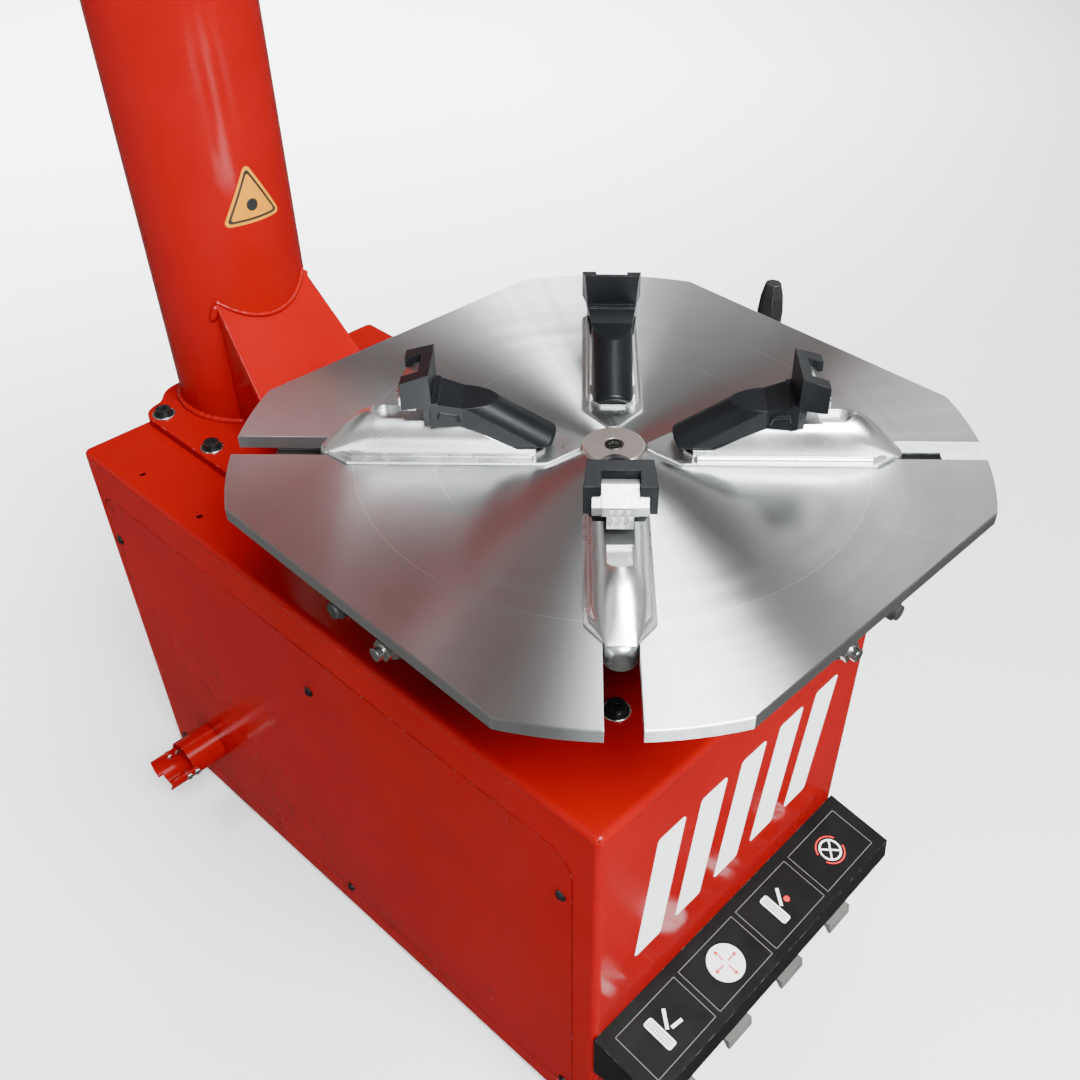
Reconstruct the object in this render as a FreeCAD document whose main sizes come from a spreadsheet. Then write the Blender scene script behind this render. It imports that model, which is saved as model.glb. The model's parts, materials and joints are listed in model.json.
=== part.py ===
import FreeCAD, Part
import math
import os
from FreeCAD import Placement, Rotation, Vector

# Tyre changer with a fixed round column and a swing arm.  Origin: on the floor, at the
# centre of the four floor anchor holes.  +Z up, the pedals face -Y, the bead breaker is at +X.

doc = FreeCAD.newDocument("tyre_changer")
sheet = doc.addObject("Spreadsheet::Sheet", "Sizes")

DRIVING = {
    # cabinet
    "cab_width": 446, "cab_length": 858, "cab_height": 546, "cab_base": 12, "sheet_thick": 3,
    "cab_corner": 8, "panel_gap": 1.2, "panel_front": -395, "panel_rear": 415,
    "panel_top": 499, "panel_bottom": 40,
    # turntable, measured from its axis and its top face
    "table_y": -238, "table_top": 768, "table_side": 611, "table_corner_radius": 350,
    "plate_thick": 12.5, "slot_width": 28.8, "slot_inner": 52,
    # column, arm and tool shaft
    "column_y": 391, "column_radius": 88.5, "column_wall": 6, "column_top": 1680,
    "flange_thick": 10, "arm_reach": 629, "arm_level": 1630, "arm_rest_turn": 10,
    "hex_flats": 38, "hex_bottom": 1180, "hex_top": 2060,
    # jaw drive
    "table_rest": -1.8, "jaw_travel": 75, "front_jaw_inset": 13, "pin_radius": 8,
    "pin_circle": 125, "cam_radius": 226, "cam_thick": 10, "cam_level": -46, "cam_turn": 50, "hub_radius": 48, "cylinder_radius": 34,
    "cylinder_level": -95, "rod_radius": 10,
    # drive
    "gearbox_half": 120, "gearbox_drop": 120, "worm_y": 96.5, "worm_drop": 276,
    "motor_y": 250, "motor_drop": 440, "pulley_x": 150, "pulley_width": 24,
    "big_pulley_radius": 60, "small_pulley_radius": 30,
    # pedals
    "panel_reach": 87, "panel_level": 213, "panel_slope": 10, "pedal_pitch": 105,
    "pedal_axis_y": -345, "pedal_axis_z": 96, "pedal_width": 44,
    # bead breaker
    "bead_pivot_x": 268, "bead_pivot_y": 330, "bead_level": 400, "bead_length": 520,
    "bead_open_turn": 17, "bead_rod_reach": 170, "bead_cylinder_radius": 80,
}
for row_number, (alias, value) in enumerate(DRIVING.items(), start=1):
    sheet.set("A%d" % row_number, alias)
    sheet.set("B%d" % row_number, str(value))
    sheet.setAlias("B%d" % row_number, alias)
doc.recompute()

CLEAR = 0.3          # gap between pieces that move past each other
RUNNING = 0.05       # radial clearance of a shaft in its bore
CAB_TOP = DRIVING["cab_base"] + DRIVING["cab_height"]
HALF_W = DRIVING["cab_width"] / 2
HALF_L = DRIVING["cab_length"] / 2
TABLE_AT = Vector(0, DRIVING["table_y"], DRIVING["table_top"])
COLUMN_AT = Vector(0, DRIVING["column_y"], 0)
PEDAL_WINDOW_HALF = 200
PEDAL_WINDOW_LOW = 32
PEDAL_WINDOW_TOP = 178
HOLDER_RADIUS = 27   # lever holder's tube
HEEL = 189           # radius of the step behind the jaw's foot
FACE = 188           # radius of the jaw's outer face
RECESS = 180         # radius of the recess floor between its prongs
CORNERS = {"front_left": -135, "front_right": -45, "rear_right": 45, "rear_left": 135}
nodes = []


def table_place(turn=0):
    """Placement on the turntable's axis, at its parked angle plus `turn` degrees."""
    return Placement(TABLE_AT, Rotation(Vector(0, 0, 1), turn + DRIVING["table_rest"]))


def size(alias):
    """Value of one driving dimension, read back from the sheet."""
    return float(sheet.get(alias))


def bind(obj, **expressions):
    """Bind properties to the sheet; a bare word in front of a dot is left as it is."""
    for prop, expression in expressions.items():
        text = str(expression)
        for alias in sorted(DRIVING, key=len, reverse=True):
            text = text.replace("$" + alias, "Sizes." + alias)
        obj.setExpression(prop.replace("__", "."), text)
    return obj


def moved(x=0, y=0, z=0, turn=0.0, axis=(0, 0, 1)):
    return Placement(Vector(x, y, z), Rotation(Vector(*axis), turn))


def box(name, x, y, z):
    """Box between expression pairs x, y, z."""
    item = doc.addObject("Part::Box", name)
    bind(item, Length="(%s) - (%s)" % (x[1], x[0]), Width="(%s) - (%s)" % (y[1], y[0]),
         Height="(%s) - (%s)" % (z[1], z[0]), Placement__Base__x=x[0],
         Placement__Base__y=y[0], Placement__Base__z=z[0])
    return item


AXES = {"z": (0, 0, 1, 0), "x": (0, 1, 0, 90), "y": (1, 0, 0, -90)}


def rod(name, radius, at, length, along="z"):
    """Cylinder whose first end is centred on `at` (three expressions)."""
    item = doc.addObject("Part::Cylinder", name)
    ax, ay, az, angle = AXES[along]
    item.Placement = moved(turn=angle, axis=(ax, ay, az))
    bind(item, Radius=radius, Height=length, Placement__Base__x=at[0],
         Placement__Base__y=at[1], Placement__Base__z=at[2])
    return item


def fuse(name, *items):
    joined = doc.addObject("Part::MultiFuse", name)
    joined.Shapes = list(items)
    joined.Refine = True
    return joined


def group(name, *items):
    """Separate solids that share one node."""
    gathered = doc.addObject("Part::Compound", name)
    gathered.Links = list(items)
    return gathered


def cut(name, base, *tools):
    result = doc.addObject("Part::Cut", name)
    result.Base = base
    result.Tool = tools[0] if len(tools) == 1 else group(name + "_tools", *tools)
    result.Refine = True
    return result


def solid(name, shape, place=None):
    """A Part::Feature for a shape that no primitive gives."""
    item = doc.addObject("Part::Feature", name)
    item.Shape = shape
    if place:
        item.Placement = place.multiply(shape.Placement)
    return item


def node(label, item, place=None):
    """Name a finished sub-part and set where it stands."""
    if place:
        item.Placement = place
    item.Label = label
    nodes.append(item)
    return item


def sketch_loop(sketch, points, rounding=0.0):
    """Closed outline in a sketch; a point may be (x, y) or (x, y, radius) for a rounded corner."""
    count = len(points)
    ends = []
    for index in range(count):
        before = Vector(*points[index - 1][:2], 0)
        here = Vector(*points[index][:2], 0)
        after = Vector(*points[(index + 1) % count][:2], 0)
        radius = points[index][2] if len(points[index]) > 2 else rounding
        back = (before - here).normalize()
        ahead = (after - here).normalize()
        half = back.getAngle(ahead) / 2
        if radius and abs(half - math.pi / 2) > 1e-4:
            reach = radius / math.tan(half)
            centre = here + (back + ahead).normalize() * (radius / math.sin(half))
            middle = centre + (here - centre).normalize() * radius
            ends.append((here + back * reach, middle, here + ahead * reach))
        else:
            ends.append((here, None, here))
    for index in range(count):
        start, middle, finish = ends[index]
        if middle is not None:
            arc = Part.Arc(start, middle, finish)
            sketch.addGeometry(arc, False)
        following = ends[(index + 1) % count][0]
        if (following - finish).Length > 1e-6:
            sketch.addGeometry(Part.LineSegment(finish, following), False)


def origin_plane(body, role):
    return [item for item in body.Origin.OriginFeatures if item.Role == role][0]


def body_from(name, role, outline, length, holes=(), rounding=0.0, both=False):
    """PartDesign body: one padded outline with optional round holes (x, y, radius)."""
    body = doc.addObject("PartDesign::Body", name)
    profile = body.newObject("Sketcher::SketchObject", name + "_outline")
    profile.AttachmentSupport = [(origin_plane(body, role), "")]
    profile.MapMode = "FlatFace"
    sketch_loop(profile, outline, rounding)
    for x, y, radius in holes:
        profile.addGeometry(Part.Circle(Vector(x, y, 0), Vector(0, 0, 1), radius), False)
    pad = body.newObject("PartDesign::Pad", name + "_pad")
    pad.Profile = profile
    bind(pad, Length=length)
    pad.Midplane = both
    return body


def pocket(body, name, role, outline, length=None, both=True, reversed_cut=False, loft=0.0):
    """Cut an outline out of a body; no length means right through."""
    profile = body.newObject("Sketcher::SketchObject", name + "_outline")
    profile.AttachmentSupport = [(origin_plane(body, role), "")]
    profile.MapMode = "FlatFace"
    profile.AttachmentOffset = moved(z=loft)
    if isinstance(outline, tuple):
        x, y, radius = outline
        profile.addGeometry(Part.Circle(Vector(x, y, 0), Vector(0, 0, 1), radius), False)
    else:
        sketch_loop(profile, outline)
    feature = body.newObject("PartDesign::Pocket", name)
    feature.Profile = profile
    feature.Midplane = both
    feature.Reversed = reversed_cut
    if length is None:
        feature.Length = 4000
    else:
        bind(feature, Length=length)
    return feature


def polar(body, feature, count, name):
    """Repeat one feature round the body's Z axis."""
    pattern = body.newObject("PartDesign::PolarPattern", name)
    pattern.Originals = [feature]
    axis = [item for item in body.Origin.OriginFeatures if item.Role == "Z_Axis"][0]
    pattern.Axis = (axis, [""])
    pattern.Angle = 360
    pattern.Occurrences = count
    body.Tip = pattern
    return pattern


def turned(name, profile):
    """PartDesign body turned about Z from (radius, height) points."""
    body = doc.addObject("PartDesign::Body", name)
    half = body.newObject("Sketcher::SketchObject", name + "_half")
    half.AttachmentSupport = [(origin_plane(body, "XZ_Plane"), "")]
    half.MapMode = "FlatFace"
    sketch_loop(half, profile)
    spin = body.newObject("PartDesign::Revolution", name + "_turned")
    spin.Profile = half
    spin.ReferenceAxis = (half, ["V_Axis"])
    spin.Angle = 360
    return body


def prism(points, height, base=0.0):
    """Solid between z = base and base + height over a closed polygon."""
    wire = Part.makePolygon([Vector(x, y, base) for x, y in points + points[:1]])
    return Part.Face(wire).extrude(Vector(0, 0, height))


def bolt_head(flats, height):
    """Hexagonal head standing on z = 0."""
    radius = flats / math.sqrt(3)
    corners = [(radius * math.cos(math.radians(a)), radius * math.sin(math.radians(a)))
               for a in range(0, 360, 60)]
    return prism(corners, height)


def bolt(shank_radius, shank, flats, head, washer_radius=0.0, washer=0.0, socket=0.0):
    """Bolt along Z with its seat at z = 0, washer included."""
    shape = Part.makeCylinder(shank_radius, shank + washer, Vector(0, 0, -shank))
    if washer:
        shape = shape.fuse(Part.makeCylinder(washer_radius, washer))
    cap = bolt_head(flats, head)
    if socket:
        cap = Part.makeCylinder(flats / 2, head).cut(
            bolt_head(socket, head).translated(Vector(0, 0, head / 2)))
    cap.translate(Vector(0, 0, washer))
    return shape.fuse(cap).removeSplitter()


def copies(shape, places):
    return Part.makeCompound([shape.transformed(place.toMatrix(), True) for place in places])


# ---------------------------------------------------------------- cabinet

def make_cabinet():
    outer = box("shell_outer", ("-$cab_width/2", "$cab_width/2"),
                ("-$cab_length/2", "$cab_length/2"), ("$cab_base", "$cab_base + $cab_height"))
    doc.recompute()
    rounded = doc.addObject("Part::Fillet", "shell_rounded")
    rounded.Base = outer
    edges = []
    for number, edge in enumerate(outer.Shape.Edges, start=1):
        middle = edge.CenterOfMass
        on_top = abs(middle.z - CAB_TOP) < 0.1
        upright = abs(edge.Vertexes[0].Z - edge.Vertexes[1].Z) > 1
        if on_top or upright:
            edges.append((number, size("cab_corner"), size("cab_corner")))
    rounded.Edges = edges
    inner = box("shell_inner", ("-$cab_width/2 + $sheet_thick", "$cab_width/2 - $sheet_thick"),
                ("-$cab_length/2 + $sheet_thick", "$cab_length/2 - $sheet_thick"),
                ("$cab_base - 1", "$cab_base + $cab_height - $sheet_thick"))
    side_window = solid("shell_window", rounded_plate(
        size("panel_front") - 1.2, size("panel_rear") + 1.2, size("panel_bottom") - 1.2,
        size("panel_top") + 1.2, 30, 24, -HALF_W - 10))
    tools = [inner, side_window,
             rod("shell_spindle_hole", 62, ("0", "$table_y", "500"), 100)]
    for x in (-98, 98):
        for y in (-98, 98):
            tools.append(rod("shell_gearbox_hole", 6.6, (x, "$table_y + %d" % y, 500), 100))
    for x, y in column_bolt_spots():
        tools.append(rod("shell_column_hole", 7, (x, y, 500), 100))
    for x in (-200, 200):
        for y in (212, 330):
            tools.append(rod("shell_spare_hole", 4, (x, y, 500), 100))
    tools.append(box("shell_pedal_window", (-PEDAL_WINDOW_HALF, PEDAL_WINDOW_HALF),
                     ("-$cab_length/2 - 5", "-$cab_length/2 + 12"),
                     (PEDAL_WINDOW_LOW, PEDAL_WINDOW_TOP)))
    tools.append(rod("shell_rod_hole", 15, ("$cab_width/2 - 10",
                     "$bead_pivot_y - $bead_rod_reach", "$bead_level"), 30, "x"))
    tools.append(rod("shell_gland_hole", 11.2, (-120, "$cab_length/2 - 10", 140), 30, "y"))
    tools.append(rod("shell_air_hole", 9.2, (-60, "$cab_length/2 - 10", 140), 30, "y"))
    walls = cut("shell_walls", rounded, *tools)
    # a narrow flange behind the side window carries the panel screws
    frame_out = rounded_plate(size("panel_front") - 14, size("panel_rear") + 10.5,
                              size("panel_bottom") - 14, size("panel_top") + 14, 30, 2, 0)
    frame_in = rounded_plate(size("panel_front") + 18, size("panel_rear") - 18,
                             size("panel_bottom") + 18, size("panel_top") - 18, 20, 6, -2)
    flange = frame_out.cut(frame_in)
    flange.translate(Vector(-HALF_W + size("sheet_thick"), 0, 0))
    for x, y, z in panel_screw_spots():
        flange = flange.cut(Part.makeCylinder(2.6, 20, Vector(-HALF_W - 5, y, z), Vector(1, 0, 0)))
    shell = fuse("shell", walls, solid("shell_flange", flange))
    doc.recompute()
    sheets = [shell.Shape.common(region) for region in sheet_regions()]
    node("cabinet_shell", solid("shell_sheets", Part.makeCompound(sheets)))

    panel = rounded_plate(size("panel_front"), size("panel_rear"), size("panel_bottom"),
                          size("panel_top"), 30, size("sheet_thick"), -HALF_W)
    for x, y, z in panel_screw_spots():
        panel = panel.cut(Part.makeCylinder(2.6, 20, Vector(-HALF_W - 5, y, z), Vector(1, 0, 0)))
    panel = panel.cut(Part.makeCylinder(HOLDER_RADIUS + 0.2, 30,
                                        Vector(-HALF_W - 10, *holder_spot()), Vector(1, 0, 0)))
    node("left_side_panel", solid("panel", panel))

    screw = Part.makeCylinder(2.5, 9).fuse(Part.makeCylinder(6.5, 1.0, Vector(0, 0, -1)))
    dome = Part.makeSphere(8, Vector(0, 0, 4)).common(Part.makeCylinder(5.6, 5, Vector(0, 0, -5)))
    slot_cross = Part.makeBox(7, 1.4, 2.4, Vector(-3.5, -0.7, -5)).fuse(
        Part.makeBox(1.4, 7, 2.4, Vector(-0.7, -3.5, -5)))
    screw = screw.fuse(dome).cut(slot_cross).removeSplitter()
    places = [Placement(Vector(-HALF_W, y, z), Rotation(Vector(0, 1, 0), 90))
              for x, y, z in panel_screw_spots()]
    node("side_screws", solid("screws", copies(screw, places)))


def sheet_regions():
    """Where each welded sheet of the cabinet lies: top, sides, rear and four pieces of the front."""
    rim = size("cab_corner") + size("sheet_thick")
    top = CAB_TOP - rim
    x = HALF_W - rim
    y = HALF_L - rim
    low = size("cab_base") - 1
    beyond = 5
    spans = [((-HALF_W - beyond, HALF_W + beyond), (-HALF_L - beyond, HALF_L + beyond),
              (top, CAB_TOP + beyond)),
             ((-HALF_W - beyond, -x), (-HALF_L - beyond, HALF_L + beyond), (low, top)),
             ((x, HALF_W + beyond), (-HALF_L - beyond, HALF_L + beyond), (low, top)),
             ((-x, x), (y, HALF_L + beyond), (low, top)),
             ((-x, x), (-HALF_L - beyond, -y), (PEDAL_WINDOW_TOP, top)),
             ((-x, x), (-HALF_L - beyond, -y), (low, PEDAL_WINDOW_LOW)),
             ((-x, -PEDAL_WINDOW_HALF), (-HALF_L - beyond, -y), (PEDAL_WINDOW_LOW, PEDAL_WINDOW_TOP)),
             ((PEDAL_WINDOW_HALF, x), (-HALF_L - beyond, -y), (PEDAL_WINDOW_LOW, PEDAL_WINDOW_TOP))]
    return [Part.makeBox(xs[1] - xs[0], ys[1] - ys[0], zs[1] - zs[0], Vector(xs[0], ys[0], zs[0]))
            for xs, ys, zs in spans]


def rounded_plate(y_low, y_high, z_low, z_high, radius, thick, x_low):
    """Upright plate normal to X with rounded corners."""
    blank = Part.makeBox(thick, y_high - y_low, z_high - z_low, Vector(x_low, y_low, z_low))
    along_x = [edge for edge in blank.Edges
               if abs(edge.Vertexes[0].X - edge.Vertexes[1].X) > 1e-6]
    return blank.makeFillet(radius, along_x)


def panel_screw_spots():
    return [(0, y, z) for y in (-381, 10, 401) for z in (54, 431)]


def holder_spot():
    """Axis of the lever holder: its y and z."""
    return 307, 116


def column_bolt_spots():
    return [(x, y) for y in (199, 304, 409) for x in (-119, 119)]


def make_base():
    """Welded base frame: two long channels, three cross bars and four anchor lugs."""
    parts = []
    for side in (-1, 1):
        low, high = sorted((side * (HALF_W - 6), side * (HALF_W - 46)))
        parts.append(box("base_rail", (low, high), ("-$cab_length/2 + 4", "$cab_length/2 - 4"),
                         ("$cab_base", "$cab_base + 5")))
        low, high = sorted((side * (HALF_W - 6), side * (HALF_W - 11)))
        parts.append(box("base_web", (low, high), ("-$cab_length/2 + 4", "$cab_length/2 - 4"),
                         ("$cab_base", "$cab_base + 18")))
    for y in (-425, -10, 380):
        parts.append(box("base_bar", ("-$cab_width/2 + 11", "$cab_width/2 - 11"), (y, y + 45),
                         ("$cab_base", "$cab_base + 5")))
    for x in (-1, 1):
        for y in (-1, 1):
            low, high = sorted((x * (HALF_W - 6), x * (HALF_W - 52)))
            parts.append(box("base_lug", (low, high), (y * 350 - 25, y * 350 + 25),
                             ("$cab_base - 8", "$cab_base")))
    # pedestal that carries the motor's foot
    stand_y = size("table_y") + size("motor_y")
    foot = size("table_top") - size("motor_drop") - 88
    for low in (-66, 58):
        parts.append(box("stand_leg", (low, low + 8), (stand_y - 40, stand_y + 40),
                         ("$cab_base", foot)))
    parts.append(box("stand_top", (-70, 80), (stand_y - 45, stand_y + 45), (foot - 6, foot)))
    joined = fuse("base_joined", *parts)
    holes = [rod("base_anchor", 7, (x * (HALF_W - 29), y * 350, -5), 40)
             for x in (-1, 1) for y in (-1, 1)]
    holes += [box("base_notch", (x - 22, x + 22), ("-$cab_length/2 - 4", "-$cab_length/2 + 8"),
                  ("$cab_base + 6", "$cab_base + 30")) for x in (-130, 130)]
    node("base_frame", cut("base", joined, *holes))
    pads = []
    for x in (-1, 1):
        for y in (-1, 1):
            pad = Part.makeBox(46, 50, 4, Vector(x * (HALF_W - 28.5) - 23, y * 350 - 25, 0))
            pad = pad.makeFillet(6, [e for e in pad.Edges if abs(e.Vertexes[0].Z - e.Vertexes[1].Z) > 1])
            pads.append(pad.cut(Part.makeCylinder(7, 10, Vector(x * (HALF_W - 29), y * 350, -2))))
    node("foot_pads", solid("pads", Part.makeCompound(pads)))


# ---------------------------------------------------------------- drive

def make_drive():
    top = CAB_TOP - size("sheet_thick")
    wall = 10
    case = box("case_outer", ("-$gearbox_half", "$gearbox_half"),
               ("$table_y - $gearbox_half", "$table_y + $gearbox_half + 10"),
               ("%g - $gearbox_drop" % top, top))
    hollow = box("case_inner", ("-$gearbox_half + %d" % wall, "$gearbox_half - %d" % wall),
                 ("$table_y - $gearbox_half + %d" % wall, "$table_y + $gearbox_half"),
                 ("%g - $gearbox_drop + %d" % (top, wall), top - wall))
    worm_z = size("table_top") - size("worm_drop")
    bores = [rod("case_bore", 45 + RUNNING, (0, "$table_y", top - 200), 260),
             rod("case_worm_bore", 14 + RUNNING, (-130, "$table_y + $worm_y", worm_z), 260, "x")]
    corners = [(x, y) for x in (-98, 98) for y in (-98, 98)]
    bosses = [rod("case_boss", 15, (x, "$table_y + %d" % y, top - wall - 20), 21)
              for x, y in corners]
    bolts = [rod("case_bolt_bore", 6.1, (x, "$table_y + %d" % y, top - 42), 60)
             for x, y in corners]
    hollowed = cut("case_shell", case, hollow)
    node("gearbox_housing", cut("case", fuse("case_bossed", hollowed, *bosses), *bores, *bolts))
    screw = bolt(6, 34, 19, 8, 12.5, 2, socket=10)
    column_screw = bolt(6.5, 20, 18, 7, 12, 2, socket=9)
    node("top_bolts", solid("case_bolts", Part.makeCompound([
        copies(screw, [moved(x, size("table_y") + y, CAB_TOP) for x, y in corners]),
        copies(column_screw, [moved(x, y, CAB_TOP + size("flange_thick"))
                              for x, y in column_bolt_spots()])])))

    # spindle: hub that carries the turntable, shaft and worm wheel in one turned piece
    deep = size("table_top") - (top - size("gearbox_drop")) + 12
    wheel_top = -size("worm_drop") + 13
    body = turned("spindle_blank", [
        (9, -size("plate_thick")), (size("hub_radius"), -size("plate_thick")),
        (size("hub_radius"), -46.3), (62, -46.3), (62, -58), (45, -62), (45, wheel_top),
        (76, wheel_top), (76, wheel_top - 26), (45, wheel_top - 26), (45, -deep), (9, -deep)])
    tooth_gap = pocket(body, "wheel_gap", "XY_Plane", (78, 0, 4.2), 26, both=False, loft=wheel_top)
    polar(body, tooth_gap, 36, "wheel_teeth")
    node("spindle", body, table_place())

    seat = -deep + 12
    distributor = turned("distributor_blank", [
        (52, seat), (74, seat), (74, seat - 8), (58, seat - 8), (58, seat - 20), (30, seat - 24),
        (30, seat - 58), (22, seat - 62), (22, seat - 78), (0, seat - 78), (0, seat - 14),
        (52, seat - 14)])
    node("air_distributor", distributor, table_place())

    # worm shaft with its pulley, along X
    x_pulley = size("pulley_x")
    width = size("pulley_width")
    worm = [(0, -126), (14, -126), (14, -60), (19, -58), (19, 58), (14, 60), (14, x_pulley - 14),
            (24, x_pulley - 12), (24, x_pulley), (0, x_pulley)]
    shaft = turned("worm_blank", worm)
    for step in range(-5, 6):
        ring = shaft.newObject("Sketcher::SketchObject", "thread_ring_%d" % (step + 5))
        ring.AttachmentSupport = [(origin_plane(shaft, "XZ_Plane"), "")]
        ring.MapMode = "FlatFace"
        z = step * 9.6
        sketch_loop(ring, [(19.4, z - 2.6), (19.4, z + 2.6), (15.5, z + 1.2), (15.5, z - 1.2)])
        groove = shaft.newObject("PartDesign::Groove", "thread_%d" % (step + 5))
        groove.Profile = ring
        groove.ReferenceAxis = (ring, ["V_Axis"])
        groove.Angle = 360
    node("worm_shaft", shaft, Placement(Vector(0, size("table_y") + size("worm_y"), worm_z),
                                        Rotation(Vector(0, 1, 0), 90)))

    make_pulley("input_pulley", size("big_pulley_radius"), 24 + RUNNING, x_pulley,
                size("table_y") + size("worm_y"), worm_z, width, spokes=5)
    motor_z = size("table_top") - size("motor_drop")
    motor_y = size("table_y") + size("motor_y")
    make_pulley("motor_pulley", size("small_pulley_radius"), 12, x_pulley, motor_y, motor_z,
                width, spokes=0)

    motor = Part.makeCylinder(72, 190, Vector(-100, 0, 0), Vector(1, 0, 0))
    for index in range(18):
        fin = Part.makeBox(150, 3, 10, Vector(-80, -1.5, 68))
        fin.rotate(Vector(0, 0, 0), Vector(1, 0, 0), index * 20)
        motor = motor.fuse(fin)
    motor = motor.fuse(Part.makeCylinder(78, 16, Vector(84, 0, 0), Vector(1, 0, 0)))
    motor = motor.fuse(Part.makeBox(90, 60, 26, Vector(-50, -30, 66)))
    motor = motor.fuse(Part.makeBox(150, 90, 12, Vector(-70, -45, -88)))
    motor = motor.fuse(Part.makeBox(150, 30, 20, Vector(-70, -15, -88)))
    motor = motor.cut(Part.makeCylinder(12 + RUNNING, 80, Vector(60, 0, 0), Vector(1, 0, 0)))
    node("electric_motor", solid("motor", motor.removeSplitter(), moved(0, motor_y, motor_z)))

    make_belt(motor_y, motor_z, worm_z)


def make_pulley(label, radius, bore, x_low, y, z, width, spokes):
    """Grooved pulley along X; without spokes it is solid and carries the motor's own stub."""
    groove = [(radius, 0), (radius, 3), (radius - 9, 8), (radius - 9, width - 8),
              (radius, width - 3), (radius, width)]
    if spokes:
        body = turned(label + "_blank", [(bore, 0)] + groove + [(bore, width)])
        window = pocket(body, label + "_window", "XY_Plane",
                        ((bore + radius - 9) / 2, 0, (radius - 9 - bore) / 2 - 4), 500)
        polar(body, window, spokes, label + "_windows")
    else:
        stub = 60
        body = turned(label + "_blank", [(0, -stub), (bore, -stub), (bore, 0)] + groove +
                      [(0, width)])
    node(label, body, Placement(Vector(x_low - width, y, z), Rotation(Vector(0, 1, 0), 90)))


def make_belt(motor_y, motor_z, worm_z):
    """Closed belt round both pulleys, in the middle of their grooves."""
    big_at = Vector(0, size("table_y") + size("worm_y"), worm_z)
    small_at = Vector(0, motor_y, motor_z)
    big = size("big_pulley_radius") - 9 + 0.5
    small = size("small_pulley_radius") - 9 + 0.5

    def loop(extra):
        r_big = big + extra
        r_small = small + extra
        span = small_at - big_at
        distance = span.Length
        heading = math.atan2(span.z, span.y)
        lean = math.acos((r_big - r_small) / distance)

        def at(centre, radius, angle):
            return centre + Vector(0, radius * math.cos(angle), radius * math.sin(angle))

        upper = heading + lean
        lower = heading - lean
        a, b = at(big_at, r_big, upper), at(small_at, r_small, upper)
        c, d = at(small_at, r_small, lower), at(big_at, r_big, lower)
        edges = [Part.LineSegment(a, b).toShape(),
                 Part.Arc(b, at(small_at, r_small, heading), c).toShape(),
                 Part.LineSegment(c, d).toShape(),
                 Part.Arc(d, at(big_at, r_big, heading + math.pi), a).toShape()]
        return Part.Face(Part.Wire(edges))

    width = 6.5
    x_low = size("pulley_x") - size("pulley_width") / 2 - width / 2
    band = loop(7).cut(loop(0)).extrude(Vector(width, 0, 0))
    band.translate(Vector(x_low, 0, 0))
    node("drive_belt", solid("belt", band))


# ---------------------------------------------------------------- column

def make_column():
    low = CAB_TOP
    thick = size("flange_thick")
    outline = [(-137, 172, 14), (137, 172, 14), (137, 436, 26), (104, 436, 20), (90, 462, 40),
               (-90, 462, 40), (-104, 436, 20), (-137, 436, 26)]
    flange = body_from("flange_blank", "XY_Plane", outline, "$flange_thick",
                       holes=[(x, y, 6.6) for x, y in column_bolt_spots()])
    flange.Placement = moved(z=low)
    outer = rod("tube_outer", "$column_radius", (0, "$column_y", low + thick),
                "$column_top - %g" % (low + thick))
    inner = rod("tube_inner", "$column_radius - $column_wall", (0, "$column_y", low),
                "$column_top - %g + 5" % low)
    node("column_tube", cut("tube", outer, inner))

    # sloping gusset in front of the column, with two webs behind it
    foot_y, foot_z = 182, low + thick
    head_y, head_z = 325, 730
    slope = math.atan2(head_z - foot_z, head_y - foot_y)
    run = math.hypot(head_y - foot_y, head_z - foot_z)
    face = prism([(-88, 0), (88, 0), (75, 0.47 * run), (62, run), (-62, run), (-75, 0.47 * run)], 8, -8)
    face.rotate(Vector(0, 0, 0), Vector(1, 0, 0), math.degrees(slope))
    face.translate(Vector(0, foot_y, foot_z))
    webs = []
    for side in (-1, 1):
        web = prism([(foot_y + 12, foot_z), (380, foot_z), (380, head_z - 8), (head_y + 2, head_z - 8)], 6)
        web.rotate(Vector(0, 0, 0), Vector(1, 1, 1), 120)
        web.translate(Vector(side * 58 - 3, 0, 0))
        webs.append(web)
    gusset = face.fuse(webs)
    gusset = gusset.common(Part.makeBox(400, 400, 300, Vector(-200, 100, foot_z)))
    tube = Part.makeCylinder(size("column_radius"), 2000, COLUMN_AT)
    gusset = gusset.cut(tube).removeSplitter()
    largest = sorted(gusset.Solids, key=lambda one: one.Volume)[-1]
    node("column_base", fuse("column_weldment", flange, solid("gusset", largest)))


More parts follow.
